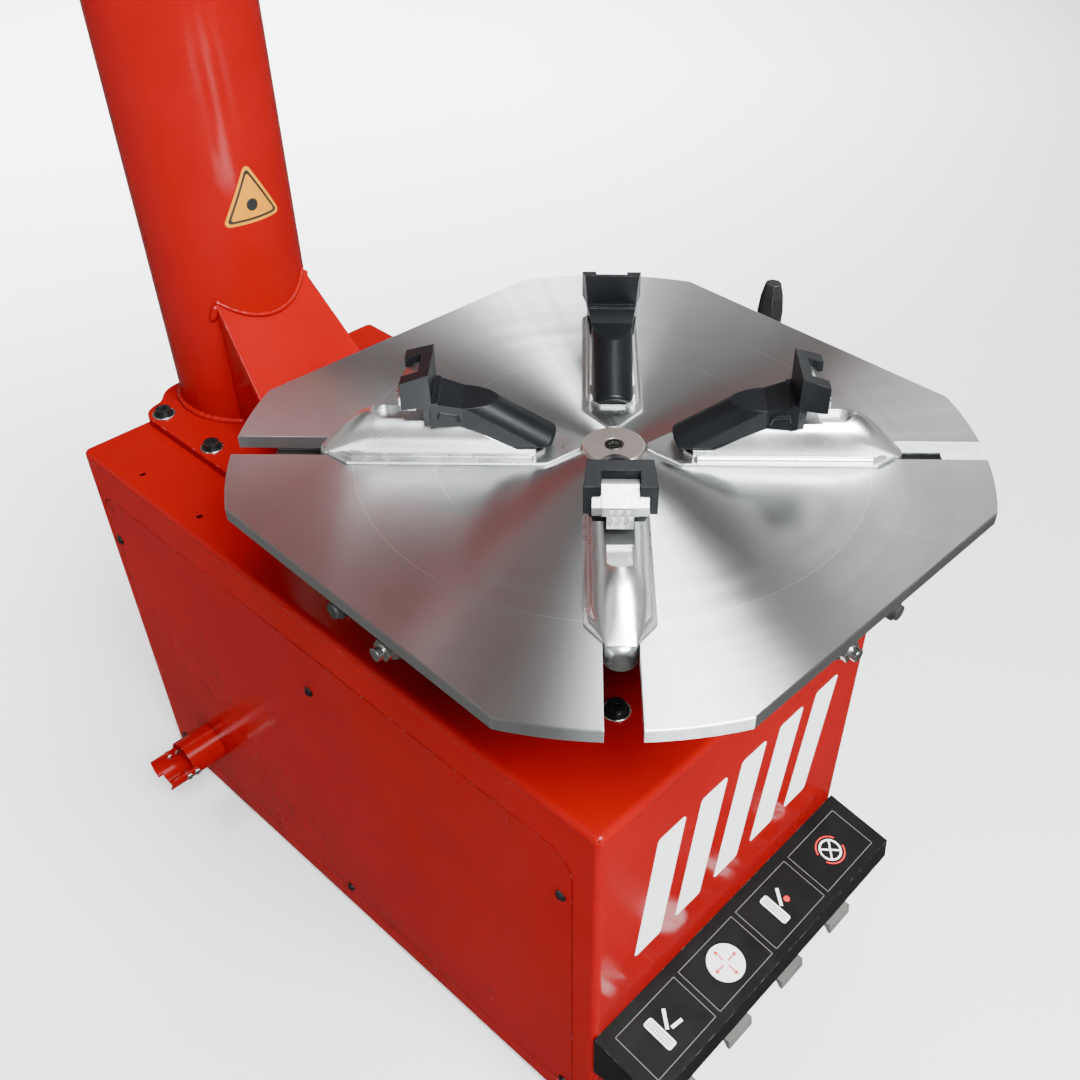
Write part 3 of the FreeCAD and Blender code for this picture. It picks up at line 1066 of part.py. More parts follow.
def make_bead_breaker():
    level = size("bead_level")
    pivot = Vector(size("bead_pivot_x"), size("bead_pivot_y"), 0)
    length = size("bead_length")
    opened = size("bead_open_turn")
    # arm built along -Y from its pivot, then opened outward about the pivot
    place = Placement(pivot, Rotation(Vector(0, 0, 1), opened))
    beam = Part.makeBox(44, length - 20, 56, Vector(-22, -length, level - 28))
    beam = beam.makeFillet(7, [e for e in beam.Edges if abs(e.Vertexes[0].Y - e.Vertexes[1].Y) > 1])
    sleeve = Part.makeCylinder(26, 110, Vector(0, 0, level - 55))
    neck = Part.makeBox(40, 46, 50, Vector(-20, -46, level - 25))
    arm = beam.fuse([sleeve, neck])
    slot = Part.makeBox(80, 56, 28, Vector(-40, -size("bead_rod_reach") - 40, level - 14))
    arm = arm.cut(slot)
    arm = arm.cut(Part.makeCylinder(14 + RUNNING, 200, Vector(0, 0, level - 100)))
    knuckle = Part.makeCylinder(20, 56, Vector(0, -length - 8, level - 28))
    arm = arm.fuse(knuckle).cut(Part.makeCylinder(9 + RUNNING, 100, Vector(0, -length - 8, level - 50)))
    stem = Part.makeCylinder(9, 240, Vector(0, -length + 42, level + 22))
    arm = arm.fuse([stem, Part.makeCylinder(14, 10, Vector(0, -length + 42, level + 26))])
    node("bead_arm", solid("breaker_arm", arm.removeSplitter(), place))

    grip_low = level + 255
    sides = 8
    grip = Part.makeLoft([polygon_wire(sides, r, z) for r, z in
                          ((13, grip_low), (14, grip_low + 10), (15.5, grip_low + 58),
                           (13.5, grip_low + 78), (9.5, grip_low + 94))], True, True)
    grip = grip.cut(Part.makeCylinder(9.02, 8, Vector(0, 0, grip_low - 1)))
    grip.translate(Vector(0, -length + 42, 0))
    node("bead_grip", solid("grip", grip, place))

    # hinge bracket on the cabinet side with its pin
    ears = []
    for z in (level - 78, level + 58):
        ear = Part.makeCylinder(26, 18, Vector(pivot.x, pivot.y, z))
        ears.append(ear.fuse(Part.makeBox(pivot.x - HALF_W, 52, 18, Vector(HALF_W, pivot.y - 26, z))))
    plate = Part.makeBox(8, 90, 190, Vector(HALF_W, pivot.y - 45, level - 95))
    bracket = plate.fuse(ears).cut(Part.makeCylinder(14, 400, Vector(pivot.x, pivot.y, level - 200)))
    clear_sleeve = Part.makeCylinder(28, 114, Vector(pivot.x, pivot.y, level - 57))
    node("bead_bracket", solid("hinge_bracket", bracket.cut(clear_sleeve).removeSplitter()))
    pin = Part.makeCylinder(14, 170, Vector(pivot.x, pivot.y, level - 85))
    pin = pin.fuse(Part.makeCylinder(20, 8, Vector(pivot.x, pivot.y, level + 76)))
    node("bead_pivot_pin", solid("hinge_pin", pin))

    # blade: curved spade on a forked carrier that swivels on the arm's knuckle
    hub = Vector(0, -length - 8, level)
    stand_off = 75
    fork_levels = (28.4, -40.4)
    fork = Part.makeCylinder(9, 82, hub + Vector(0, 0, -41)).fuse(
        Part.makeCylinder(15, 6, hub + Vector(0, 0, 40.4)))
    for z in fork_levels:
        fork = fork.fuse([Part.makeCylinder(20, 12, hub + Vector(0, 0, z)),
                          Part.makeBox(stand_off, 36, 12, hub + Vector(-stand_off, -18, z))])
    fork = fork.fuse(Part.makeBox(14, 60, 81.2, hub + Vector(-stand_off, -30, -40.4)))
    blade_r = 220
    centre = hub + Vector(-stand_off + blade_r, 0, 0)
    spade = Part.makeCylinder(blade_r, 210, centre + Vector(0, 0, -165)).cut(
        Part.makeCylinder(blade_r - 8, 230, centre + Vector(0, 0, -175)))
    spade = spade.common(Part.makeBox(60, 200, 230, hub + Vector(-stand_off - 8, -100, -170)))
    mask = prism([(-100, 30), (-100, -90), (-60, -165), (60, -165), (100, -90), (100, 30), (60, 45),
                  (-60, 45)], 120)
    mask.rotate(Vector(0, 0, 0), Vector(1, 1, 1), 120)
    mask.translate(hub + Vector(-stand_off - 28, 0, 0))
    spade = spade.common(mask)
    node("bead_blade", solid("blade", fork.fuse(spade).removeSplitter(), place))

    # air cylinder inside the cabinet and its pull rod
    y = pivot.y - size("bead_rod_reach")
    drum_r = size("bead_cylinder_radius")
    inside = HALF_W - size("sheet_thick") - 4
    drum = Part.makeCylinder(drum_r, 190, Vector(inside - 190, y, level), Vector(1, 0, 0))
    drum = drum.cut(Part.makeCylinder(drum_r - 4, 174, Vector(inside - 182, y, level), Vector(1, 0, 0)))
    drum = drum.cut(Part.makeCylinder(11 + RUNNING, 60, Vector(inside - 30, y, level), Vector(1, 0, 0)))
    drum = drum.fuse(Part.makeBox(4.0, 110, 110, Vector(inside, y - 55, level - 55)).cut(
        Part.makeCylinder(16, 20, Vector(inside - 5, y, level), Vector(1, 0, 0))))
    node("bead_cylinder", solid("breaker_cylinder", drum.removeSplitter()))
    reach = size("bead_rod_reach") * math.tan(math.radians(opened))
    outer = pivot.x + reach + 22 / math.cos(math.radians(opened)) + 11
    pull = Part.makeCylinder(11, outer + 26 - (inside - 120), Vector(inside - 120, y, level),
                             Vector(1, 0, 0))
    pull = pull.fuse(Part.makeCylinder(drum_r - 4.1, 14, Vector(inside - 120, y, level),
                                       Vector(1, 0, 0)))
    nut = bolt_head(32, 16)
    nut.rotate(Vector(0, 0, 0), Vector(0, 1, 0), 90)
    nut.translate(Vector(outer + 4, y, level))
    pull = pull.fuse([nut, Part.makeCylinder(19, 4, Vector(outer, y, level), Vector(1, 0, 0))])
    node("bead_rod", solid("pull_rod", pull.removeSplitter()))

    # ribbed rubber pad that the wheel leans on
    pad = Part.makeBox(14, 300, 150, Vector(HALF_W, -330, level - 200))
    pad = pad.makeFillet(6, [e for e in pad.Edges if e.CenterOfMass.x > HALF_W + 13])
    for row in range(6):
        groove = Part.makeBox(5, 280, 6, Vector(HALF_W + 10.5, -320, level - 184 + 22 * row))
        pad = pad.cut(groove)
    node("side_pad", solid("rubber_pad", pad))


def polygon_wire(sides, radius, z):
    points = [Vector(radius * math.cos(2 * math.pi * (k + 0.5) / sides),
                     radius * math.sin(2 * math.pi * (k + 0.5) / sides), z) for k in range(sides)]
    return Part.makePolygon(points + points[:1])


def make_side_fittings():
    y, z = holder_spot()
    # lever holder: tube stub, cut open on top at its outer end, with a lug on each side of the end
    reach = 84
    inner = HOLDER_RADIUS - 3
    out_x = -HALF_W - reach
    tube = Part.makeCylinder(HOLDER_RADIUS, reach + 4, Vector(out_x, y, z), Vector(1, 0, 0))
    tube = tube.cut(Part.makeCylinder(inner, reach + 20, Vector(out_x - 8, y, z), Vector(1, 0, 0)))
    tray = Part.makeBox(42, 60, 40, Vector(out_x - 6, y - 30, z + 3))
    notch = Part.makeBox(14, 32, 60, Vector(out_x - 7, y - 16, z - 40))
    tube = tube.cut([tray, notch])
    for offset in (-58, -46):
        tube = tube.cut(Part.makeCylinder(3, 60, Vector(-HALF_W + offset, y - 30, z - 4), Vector(0, 1, 0)))
    node("lever_holder", solid("holder", tube.removeSplitter()))

    gland = Part.makeCylinder(11, 12, Vector(-120, HALF_L - 8, 140), Vector(0, 1, 0))
    nut = bolt_head(27, 6)
    nut.rotate(Vector(0, 0, 0), Vector(1, 0, 0), -90)
    gland = gland.fuse(nut.translated(Vector(-120, HALF_L, 140)))
    gland = gland.fuse(Part.makeCone(12, 8, 16, Vector(-120, HALF_L + 6, 140), Vector(0, 1, 0)))
    gland = gland.cut(Part.makeCylinder(5, 60, Vector(-120, HALF_L - 20, 140), Vector(0, 1, 0)))
    air = Part.makeCylinder(9, 12, Vector(-60, HALF_L - 8, 140), Vector(0, 1, 0))
    nut = bolt_head(22, 8)
    nut.rotate(Vector(0, 0, 0), Vector(1, 0, 0), -90)
    air = air.fuse(nut.translated(Vector(-60, HALF_L, 140)))
    air = air.fuse(Part.makeCylinder(6, 26, Vector(-60, HALF_L + 8, 140), Vector(0, 1, 0)))
    air = air.fuse(Part.makeCone(6, 5, 2, Vector(-60, HALF_L + 34, 140), Vector(0, 1, 0)))
    air = air.cut(Part.makeCylinder(3.5, 60, Vector(-60, HALF_L - 20, 140), Vector(0, 1, 0)))
    node("rear_inlets", solid("inlets", Part.makeCompound([gland.removeSplitter(),
                                                           air.removeSplitter()])))


make_cabinet()
make_base()
make_drive()
make_column()
make_arm()
make_plate()
for corner_name, corner_angle in CORNERS.items():
    make_slide(corner_name, corner_angle)
    make_jaw(corner_name, corner_angle)
make_guides()
make_cam()
make_clamp_cylinders()
make_brackets()
make_pedals()
make_bead_breaker()
make_side_fittings()
doc.recompute()

problems = []
for item in doc.Objects:
    if "Invalid" in item.State or "Error" in item.State:
        problems.append("%s is in state %s" % (item.Label, item.State))
for item in nodes:
    if item.Shape.isNull() or not item.Shape.isValid() or item.Shape.Volume <= 0:
        problems.append("%s has no valid shape" % item.Label)
    elif item.TypeId not in ("Part::Feature", "Part::Compound") and len(item.Shape.Solids) != 1:
        problems.append("%s has %d solids" % (item.Label, len(item.Shape.Solids)))
if problems:
    raise RuntimeError("; ".join(problems))

os.makedirs("parts", exist_ok=True)
for item in nodes:
    item.Shape.exportStep("parts/%s.step" % item.Label)
print(len(nodes), "nodes written")
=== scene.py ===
import json
import math

import bmesh
import bpy
from mathutils import Matrix, Vector


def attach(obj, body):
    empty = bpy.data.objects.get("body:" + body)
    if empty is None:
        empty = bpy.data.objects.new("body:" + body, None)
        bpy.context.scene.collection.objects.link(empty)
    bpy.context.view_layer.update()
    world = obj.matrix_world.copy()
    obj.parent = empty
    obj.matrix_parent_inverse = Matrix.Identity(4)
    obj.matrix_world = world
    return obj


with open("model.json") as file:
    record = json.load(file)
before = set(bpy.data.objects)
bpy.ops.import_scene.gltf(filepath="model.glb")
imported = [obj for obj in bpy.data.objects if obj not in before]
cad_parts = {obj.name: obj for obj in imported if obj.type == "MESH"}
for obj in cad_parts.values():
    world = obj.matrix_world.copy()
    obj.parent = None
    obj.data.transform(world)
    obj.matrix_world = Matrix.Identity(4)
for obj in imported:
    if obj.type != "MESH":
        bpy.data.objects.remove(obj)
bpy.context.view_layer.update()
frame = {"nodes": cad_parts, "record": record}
nodes = frame["nodes"]

TABLE = Vector((0, -0.238, 0.768))      # centre of the turntable's top face, in metres
RED = (0.22, 0.0012, 0.0016)
COOL = (0.95, 0.98, 1.0)

# sizes and places in millimetres, as in the CAD
FRONT_Y = -429          # cabinet's front face
CAB_TOP = 558
FLANGE_TOP = 568        # upper side of the column's foot plate
COLUMN_Y = 391
COLUMN_RADIUS = 88.5
HOLDER_RADIUS = 27      # lever holder's tube


# ---------------------------------------------------------------- materials

class Paint:
    """Small helper that builds one node material on a Principled shader."""

    def __init__(self, name):
        self.material = bpy.data.materials.new(name)
        self.material.use_nodes = True
        self.tree = self.material.node_tree
        self.tree.nodes.clear()
        self.out = self.tree.nodes.new("ShaderNodeOutputMaterial")
        self.shader = self.tree.nodes.new("ShaderNodeBsdfPrincipled")
        self.tree.links.new(self.shader.outputs[0], self.out.inputs[0])
        self.coord = self.tree.nodes.new("ShaderNodeTexCoord").outputs["Object"]

    def set(self, **values):
        for key, value in values.items():
            self.shader.inputs[key.replace("_", " ")].default_value = value
        return self

    def link(self, source, target):
        self.tree.links.new(source, target)

    def noise(self, scale, detail=4.0, rough=0.5, stretch=None, distortion=0.0, source=None):
        node = self.tree.nodes.new("ShaderNodeTexNoise")
        node.inputs["Scale"].default_value = scale
        node.inputs["Detail"].default_value = detail
        node.inputs["Roughness"].default_value = rough
        node.inputs["Distortion"].default_value = distortion
        source = source or self.coord
        if stretch:
            mapping = self.tree.nodes.new("ShaderNodeMapping")
            mapping.inputs["Scale"].default_value = stretch
            self.link(source, mapping.inputs["Vector"])
            source = mapping.outputs[0]
        self.link(source, node.inputs["Vector"])
        return node.outputs["Fac"]

    def ramp(self, source, stops):
        """Colour ramp; stops are (position, grey or colour)."""
        node = self.tree.nodes.new("ShaderNodeValToRGB")
        elements = node.color_ramp.elements
        while len(elements) < len(stops):
            elements.new(0.5)
        for element, (position, colour) in zip(elements, stops):
            element.position = position
            if not isinstance(colour, tuple):
                colour = (colour, colour, colour)
            element.color = (*colour, 1)
        self.link(source, node.inputs[0])
        return node.outputs[0]

    def mix(self, factor, low, high, blend="MIX"):
        node = self.tree.nodes.new("ShaderNodeMix")
        node.data_type = "RGBA"
        node.blend_type = blend
        for socket, value in ((node.inputs[0], factor), (node.inputs[6], low), (node.inputs[7], high)):
            if isinstance(value, bpy.types.NodeSocket):
                self.link(value, socket)
            elif isinstance(value, tuple):
                socket.default_value = (*value, 1)
            else:
                socket.default_value = value
        return node.outputs[2]

    def math(self, operation, a, b=0.0, clamp=False):
        node = self.tree.nodes.new("ShaderNodeMath")
        node.operation = operation
        node.use_clamp = clamp
        for socket, value in zip(node.inputs, (a, b)):
            if isinstance(value, bpy.types.NodeSocket):
                self.link(value, socket)
            else:
                socket.default_value = value
        return node.outputs[0]

    def vector(self, operation, a, b):
        node = self.tree.nodes.new("ShaderNodeVectorMath")
        node.operation = operation
        self.link(a, node.inputs[0])
        node.inputs[1].default_value = b
        return node.outputs["Vector"]

    def length(self, source):
        node = self.tree.nodes.new("ShaderNodeVectorMath")
        node.operation = "LENGTH"
        self.link(source, node.inputs[0])
        return node.outputs["Value"]

    def unit(self, source):
        node = self.tree.nodes.new("ShaderNodeVectorMath")
        node.operation = "NORMALIZE"
        self.link(source, node.inputs[0])
        return node.outputs["Vector"]

    def rings(self, position, detail):
        """Noise along one number, such as a radius."""
        node = self.tree.nodes.new("ShaderNodeTexNoise")
        node.noise_dimensions = "1D"
        node.inputs["Scale"].default_value = 1.0
        node.inputs["Detail"].default_value = detail
        self.link(position, node.inputs["W"])
        return node.outputs["Fac"]

    def near(self, value, target, width):
        """1 where value is within about width of target, else 0."""
        gap = self.math("ABSOLUTE", self.math("SUBTRACT", value, target))
        return self.math("SUBTRACT", 1.0, self.math("DIVIDE", gap, width), clamp=True)

    def edges(self, radius):
        """Mask that is 1 on edges, and the rounded normal that it comes from."""
        bevel = self.tree.nodes.new("ShaderNodeBevel")
        bevel.samples = 4
        bevel.inputs["Radius"].default_value = radius
        flat = self.tree.nodes.new("ShaderNodeNewGeometry").outputs["Normal"]
        dot = self.tree.nodes.new("ShaderNodeVectorMath")
        dot.operation = "DOT_PRODUCT"
        self.link(bevel.outputs[0], dot.inputs[0])
        self.link(flat, dot.inputs[1])
        mask = self.math("SUBTRACT", 1.0, dot.outputs["Value"], clamp=True)
        return self.math("MULTIPLY", mask, 4.0, clamp=True), bevel.outputs[0]

    def facing_up(self):
        """1 on faces that look up, 0 on the sides."""
        split = self.tree.nodes.new("ShaderNodeSeparateXYZ")
        self.link(self.tree.nodes.new("ShaderNodeNewGeometry").outputs["Normal"], split.inputs[0])
        return self.math("GREATER_THAN", split.outputs["Z"], 0.5)

    def bump(self, height, strength, distance, normal=None):
        node = self.tree.nodes.new("ShaderNodeBump")
        node.inputs["Strength"].default_value = strength
        node.inputs["Distance"].default_value = distance
        self.link(height, node.inputs["Height"])
        if normal is not None:
            self.link(normal, node.inputs["Normal"])
        return node.outputs[0]

    def finish(self, colour=None, rough=None, normal=None):
        for key, source in (("Base Color", colour), ("Roughness", rough), ("Normal", normal)):
            if source is not None:
                self.link(source, self.shader.inputs[key])
        return self.material


def gloss_paint(name, colour, rough=0.16, peel=0.08, worn=(0.25, 0.24, 0.23)):
    """Powder coat: orange peel, faint mottling, dust and slight wear along edges."""
    m = Paint(name).set(Specular_IOR_Level=0.17)
    mottle = m.noise(6, 5, 0.6)
    dark = tuple(c * 0.86 for c in colour)
    tint = m.mix(m.ramp(mottle, [(0.35, 0.0), (0.7, 1.0)]), dark, colour)
    edge, rounded = m.edges(0.0016)
    chips = m.ramp(m.noise(90, 3, 0.6), [(0.56, 0.0), (0.66, 1.0)])
    tint = m.mix(m.math("MULTIPLY", edge, m.math("MULTIPLY", chips, 0.5)), tint, worn)
    smears = m.ramp(m.noise(11, 6, 0.62, stretch=(1, 1, 0.35)),
                    [(0.35, rough * 0.75), (0.75, rough * 1.5)])
    peel_height = m.noise(330, 2, 0.4)
    normal = m.bump(peel_height, peel, 0.0006, rounded)
    return m.finish(tint, smears, normal)


def satin_paint(name, colour, rough=0.42, grain=500, depth=0.12, worn=(0.3, 0.3, 0.3), wear=0.6,
                level=0.4):
    m = Paint(name).set(Specular_IOR_Level=level)
    spread = m.noise(14, 5, 0.6)
    tint = m.mix(m.ramp(spread, [(0.35, 0.0), (0.7, 1.0)]), tuple(c * 0.75 for c in colour), colour)
    edge, rounded = m.edges(0.0012)
    chips = m.ramp(m.noise(120, 3, 0.6), [(0.5, 0.0), (0.62, 1.0)])
    tint = m.mix(m.math("MULTIPLY", edge, m.math("MULTIPLY", chips, wear)), tint, worn)
    roughness = m.ramp(m.noise(25, 4, 0.6), [(0.3, rough * 0.82), (0.75, rough * 1.2)])
    normal = m.bump(m.noise(grain, 3, 0.6), depth, 0.0008, rounded)
    return m.finish(tint, roughness, normal)


def bare_metal(name, colour, rough=0.25, grain=(1, 1, 1), scale=300, depth=0.05, aniso=0.0,
               stain=0.25):
    m = Paint(name).set(Metallic=1.0, Anisotropic=aniso)
    lines = m.noise(scale, 4, 0.6, stretch=grain)
    patches = m.noise(9, 5, 0.6)
    shade = tuple(c * (1 - stain) for c in colour)
    tint = m.mix(m.ramp(patches, [(0.35, 0.0), (0.7, 1.0)]), shade, colour)
    edge, rounded = m.edges(0.001)
    # painted highlight: every edge is coloured lighter than the face
    tint = m.mix(m.math("MULTIPLY", edge, 0.5), tint, tuple(min(1, c * 1.25) for c in colour))
    roughness = m.ramp(lines, [(0.3, rough * 0.75), (0.75, rough * 1.3)])
    normal = m.bump(lines, depth, 0.0005, rounded)
    return m.finish(tint, roughness, normal)


def ground_plate(name):
    """Plate face ground in circles about the spindle, with scribed rings and light scratches."""
    m = Paint(name).set(Metallic=1.0, Anisotropic=1.0, Anisotropic_Rotation=0.25)
    offset = m.vector("SUBTRACT", m.coord, tuple(TABLE))
    flat = m.vector("MULTIPLY", offset, (1, 1, 0))
    radius = m.length(flat)
    drift = m.math("MULTIPLY", m.noise(7, 3, 0.6), 1.6)
    grind = m.rings(m.math("ADD", m.math("MULTIPLY", radius, 700.0), drift), 3)
    broad = m.rings(m.math("ADD", m.math("MULTIPLY", radius, 60.0), drift), 2)
    spokes = m.noise(26, 2, 0.5, source=m.unit(flat))
    tint = m.mix(m.ramp(m.noise(5, 5, 0.6), [(0.3, 0.0), (0.7, 1.0)]), (0.50, 0.505, 0.505),
                 (0.58, 0.585, 0.585))
    tint = m.mix(m.ramp(m.noise(160, 2, 0.5), [(0.70, 0.0), (0.76, 0.35)]), tint, (0.3, 0.28, 0.26))
    for scribed in (0.166, 0.238):
        line = m.near(radius, scribed, 0.0006)
        partial = m.ramp(m.noise(5, 1, 0.5), [(0.44, 0.0), (0.52, 0.7)])
        tint = m.mix(m.math("MULTIPLY", line, partial), tint, (0.95, 0.95, 0.94))
    # painted reflection: the plate's sides get a lighter grey than its top face so that they read as lit
    upward = m.facing_up()
    tint = m.mix(upward, (0.62, 0.65, 0.66), tint)
    edge, rounded = m.edges(0.0008)
    # painted highlight: the plate's edges are coloured lighter, a bright rim along every edge
    tint = m.mix(m.math("MULTIPLY", edge, 0.7), tint, (0.80, 0.82, 0.82))
    rough = m.math("ADD", m.math("MULTIPLY", broad, 0.08), m.math("MULTIPLY", spokes, 0.10))
    rough = m.math("ADD", rough, m.math("MULTIPLY", grind, 0.04))
    rough = m.math("ADD", rough, 0.24)
    tangent = m.tree.nodes.new("ShaderNodeTangent")
    tangent.direction_type = "RADIAL"
    tangent.axis = "Z"
    m.link(tangent.outputs[0], m.shader.inputs["Tangent"])
    return m.finish(tint, rough, m.bump(grind, 0.05, 0.0003, rounded))


def cap_metal(name):
    """Centre cap: turned face, with painted shade darkening its middle hole."""
    m = Paint(name).set(Metallic=1.0)
    offset = m.vector("SUBTRACT", m.coord, tuple(TABLE))
    radius = m.length(m.vector("MULTIPLY", offset, (1, 1, 0)))
    turned = m.rings(m.math("MULTIPLY", radius, 900.0), 2)
    # painted shade: the middle hole is coloured near-black by a radius mask
    hole_shade = m.ramp(m.math("MULTIPLY", radius, 100.0), [(0.86, 1.0), (0.90, 0.0)])
    tint = m.mix(m.noise(30, 4, 0.6), (0.50, 0.44, 0.40), (0.62, 0.56, 0.52))
    tint = m.mix(hole_shade, tint, (0.035, 0.033, 0.03))
    edge, rounded = m.edges(0.0007)
    # painted highlight: the cap's edges are coloured lighter, a bright ring
    tint = m.mix(m.math("MULTIPLY", edge, 0.5), tint, (0.8, 0.78, 0.75))
    rough = m.ramp(turned, [(0.3, 0.30), (0.7, 0.44)])
    return m.finish(tint, rough, m.bump(turned, 0.08, 0.0003, rounded))


MATERIALS = {
    "red_paint": gloss_paint("red_paint", RED),
    "red_panel": gloss_paint("red_panel", tuple(c * 0.92 for c in RED), rough=0.2),
    "black_paint": satin_paint("black_paint", (0.018, 0.018, 0.019)),
    "black_screw": satin_paint("black_screw", (0.006, 0.006, 0.0065), rough=0.35, wear=0.2, level=0.2),
    "rubber": satin_paint("rubber", (0.022, 0.022, 0.022), rough=0.75, wear=0.0),
    "cast_iron": satin_paint("cast_iron", (0.12, 0.12, 0.125), rough=0.6, grain=220, depth=0.35),
    "motor_paint": satin_paint("motor_paint", (0.05, 0.07, 0.10)),
    "pulley_iron": bare_metal("pulley_iron", (0.32, 0.32, 0.33), 0.4),
    "belt_rubber": satin_paint("belt_rubber", (0.015, 0.015, 0.015), rough=0.7, wear=0.0),
    "machined_steel": bare_metal("machined_steel", (0.55, 0.55, 0.56), 0.28),
    "aluminium": bare_metal("aluminium", (0.72, 0.73, 0.74), 0.35),
    "chrome_shaft": bare_metal("chrome_shaft", (0.78, 0.79, 0.8), 0.12, grain=(1, 1, 0.05)),
    "head_steel": satin_paint("head_steel", (0.10, 0.10, 0.105), rough=0.4),
    "black_plastic": satin_paint("black_plastic", (0.02, 0.02, 0.02), rough=0.5, wear=0.1),
    "table_steel": ground_plate("table_steel"),
    "cap_steel": cap_metal("cap_steel"),
    "guide_steel": bare_metal("guide_steel", (0.30, 0.30, 0.30), 0.45),
    "bracket_steel": bare_metal("bracket_steel", (0.36, 0.36, 0.35), 0.45),
    "zinc": bare_metal("zinc", (0.75, 0.76, 0.74), 0.25),
    "black_cover": satin_paint("black_cover", (0.006, 0.0055, 0.0055), rough=0.34, grain=700, depth=0.08,
                               level=0.22),
    "pedal_steel": satin_paint("pedal_steel", (0.11, 0.11, 0.10), rough=0.45),
    "grip_plastic": satin_paint("grip_plastic", (0.012, 0.012, 0.013), rough=0.32),
    "slide_steel": bare_metal("slide_steel", (0.70, 0.71, 0.71), 0.3, scale=24, depth=0.01,
                              stain=0.05),
    "jaw_black": satin_paint("jaw_black", (0.0045, 0.005, 0.006), rough=0.34, worn=(0.06, 0.066, 0.075),
                             level=0.13),
    "insert_steel": bare_metal("insert_steel", (0.40, 0.40, 0.39), 0.36),
}

for row in frame["record"]["subparts"]:
    item = nodes[row["node"]]
    item.data.materials.clear()
    item.data.materials.append(MATERIALS[row["material_slot"]])


# ---------------------------------------------------------------- stickers and printed marks

def vinyl(name, colour, rough=0.4):
    """Printed film: faint speckle, soft wear and a fine surface grain."""
    m = Paint(name).set(Specular_IOR_Level=0.4)
    speckle = m.ramp(m.noise(260, 3, 0.6), [(0.35, 0.0), (0.65, 1.0)])
    tint = m.mix(speckle, tuple(c * 0.9 for c in colour), colour)
    rubbed = m.ramp(m.noise(45, 5, 0.7), [(0.66, 0.0), (0.78, 0.25)])
    tint = m.mix(rubbed, tint, tuple(c * 0.6 + 0.05 for c in colour))
    roughness = m.ramp(m.noise(40, 3, 0.5), [(0.3, rough * 0.85), (0.7, rough * 1.15)])
    return m.finish(tint, roughness, m.bump(speckle, 0.05, 0.0002))


VINYL = {
    "white": vinyl("print_white", (0.82, 0.82, 0.81)),
    "grey": vinyl("print_grey", (0.11, 0.11, 0.105)),
    "red": vinyl("print_red", (0.55, 0.02, 0.02)),
    "black": vinyl("print_black", (0.015, 0.015, 0.015)),
    "yellow": vinyl("print_yellow", (0.50, 0.19, 0.001)),
}


def rounded(points, radius, steps=5):
    """Closed outline with every corner replaced by an arc."""
    result = []
    count = len(points)
    for index, point in enumerate(points):
        here = Vector(point)
        back = (Vector(points[index - 1]) - here).normalized()
        ahead = (Vector(points[(index + 1) % count]) - here).normalized()
        half = back.angle(ahead) / 2
        centre = here + (back + ahead).normalized() * (radius / math.sin(half))
        start = here + back * (radius / math.tan(half)) - centre
        finish = here + ahead * (radius / math.tan(half)) - centre
        sweep = start.angle_signed(finish)
        for step in range(steps + 1):
            turn = -sweep * step / steps
            arm = Vector((start.x * math.cos(turn) - start.y * math.sin(turn),
                          start.x * math.sin(turn) + start.y * math.cos(turn)))
            result.append(tuple(centre + arm))
    return result


def stroke(start, finish, width):
    """Outline of a straight bar."""
    a, b = Vector(start), Vector(finish)
    side = (b - a).normalized().orthogonal() * (width / 2)
    return [tuple(a - side), tuple(b - side), tuple(b + side), tuple(a + side)]


def circle(centre, radius, count=40):
    return [(centre[0] + radius * math.cos(2 * math.pi * k / count),
             centre[1] + radius * math.sin(2 * math.pi * k / count)) for k in range(count)]


def arc_band(centre, radius, width, start, finish, count=18):
    """Outline of part of a ring, angles in degrees."""
    outline = []
    for edge, order in ((radius + width / 2, range(count + 1)),
                        (radius - width / 2, range(count, -1, -1))):
        for k in order:
            angle = math.radians(start + (finish - start) * k / count)
            outline.append((centre[0] + edge * math.cos(angle), centre[1] + edge * math.sin(angle)))
    return outline


def place_piece(name, work, material, body, smooth=False):
    """Turn a bmesh into an object that moves with `body`."""
    bmesh.ops.recalc_face_normals(work, faces=work.faces)
    mesh = bpy.data.meshes.new(name)
    work.to_mesh(mesh)
    work.free()
    for face in mesh.polygons:
        face.use_smooth = smooth
    mesh.materials.append(material)
    piece = bpy.data.objects.new(name, mesh)
    bpy.context.scene.collection.objects.link(piece)
    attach(piece, body)


def sticker(name, body, colour, shapes, place, low=0.02, high=0.16, slices=()):
    """Flat outlines in mm, given a thickness, cut at `slices` and laid on a surface by `place`."""
    work = bmesh.new()
    for shape in shapes:
        floor_ring = [work.verts.new((u, v, low)) for u, v in shape]
        face = work.faces.new(floor_ring)
        face.normal_update()
        if face.normal.z < 0:
            face.normal_flip()
        grown = bmesh.ops.extrude_face_region(work, geom=[face])
        for item in grown["geom"]:
            if isinstance(item, bmesh.types.BMVert):
                item.co.z = high
        bmesh.ops.reverse_faces(work, faces=[face])
    for cut_at in slices:
        everything = list(work.verts) + list(work.edges) + list(work.faces)
        bmesh.ops.bisect_plane(work, geom=everything, plane_co=(cut_at, 0, 0), plane_no=(1, 0, 0))
    for vertex in work.verts:
        vertex.co = Vector(place(vertex.co.x, vertex.co.y, vertex.co.z)) / 1000
    place_piece(name, work, VINYL[colour], body)


def on_front(u, v, w):
    """Cabinet's front: u along x, v height, w outward."""
    return u, FRONT_Y - w, v


def on_cover(u, v, w):
    """Pedal cover: u along x, v forward down the slope from the cabinet's front face."""
    slope = math.radians(10)
    top = 213
    return (u, FRONT_Y - v * math.cos(slope) - w * math.sin(slope),
            top - v * math.sin(slope) + w * math.cos(slope))


def on_column(u, v, w):
    """Column's front: u round the tube, v height."""
    angle = u / COLUMN_RADIUS
    reach = COLUMN_RADIUS + w
    return reach * math.sin(angle), COLUMN_Y - reach * math.cos(angle), v


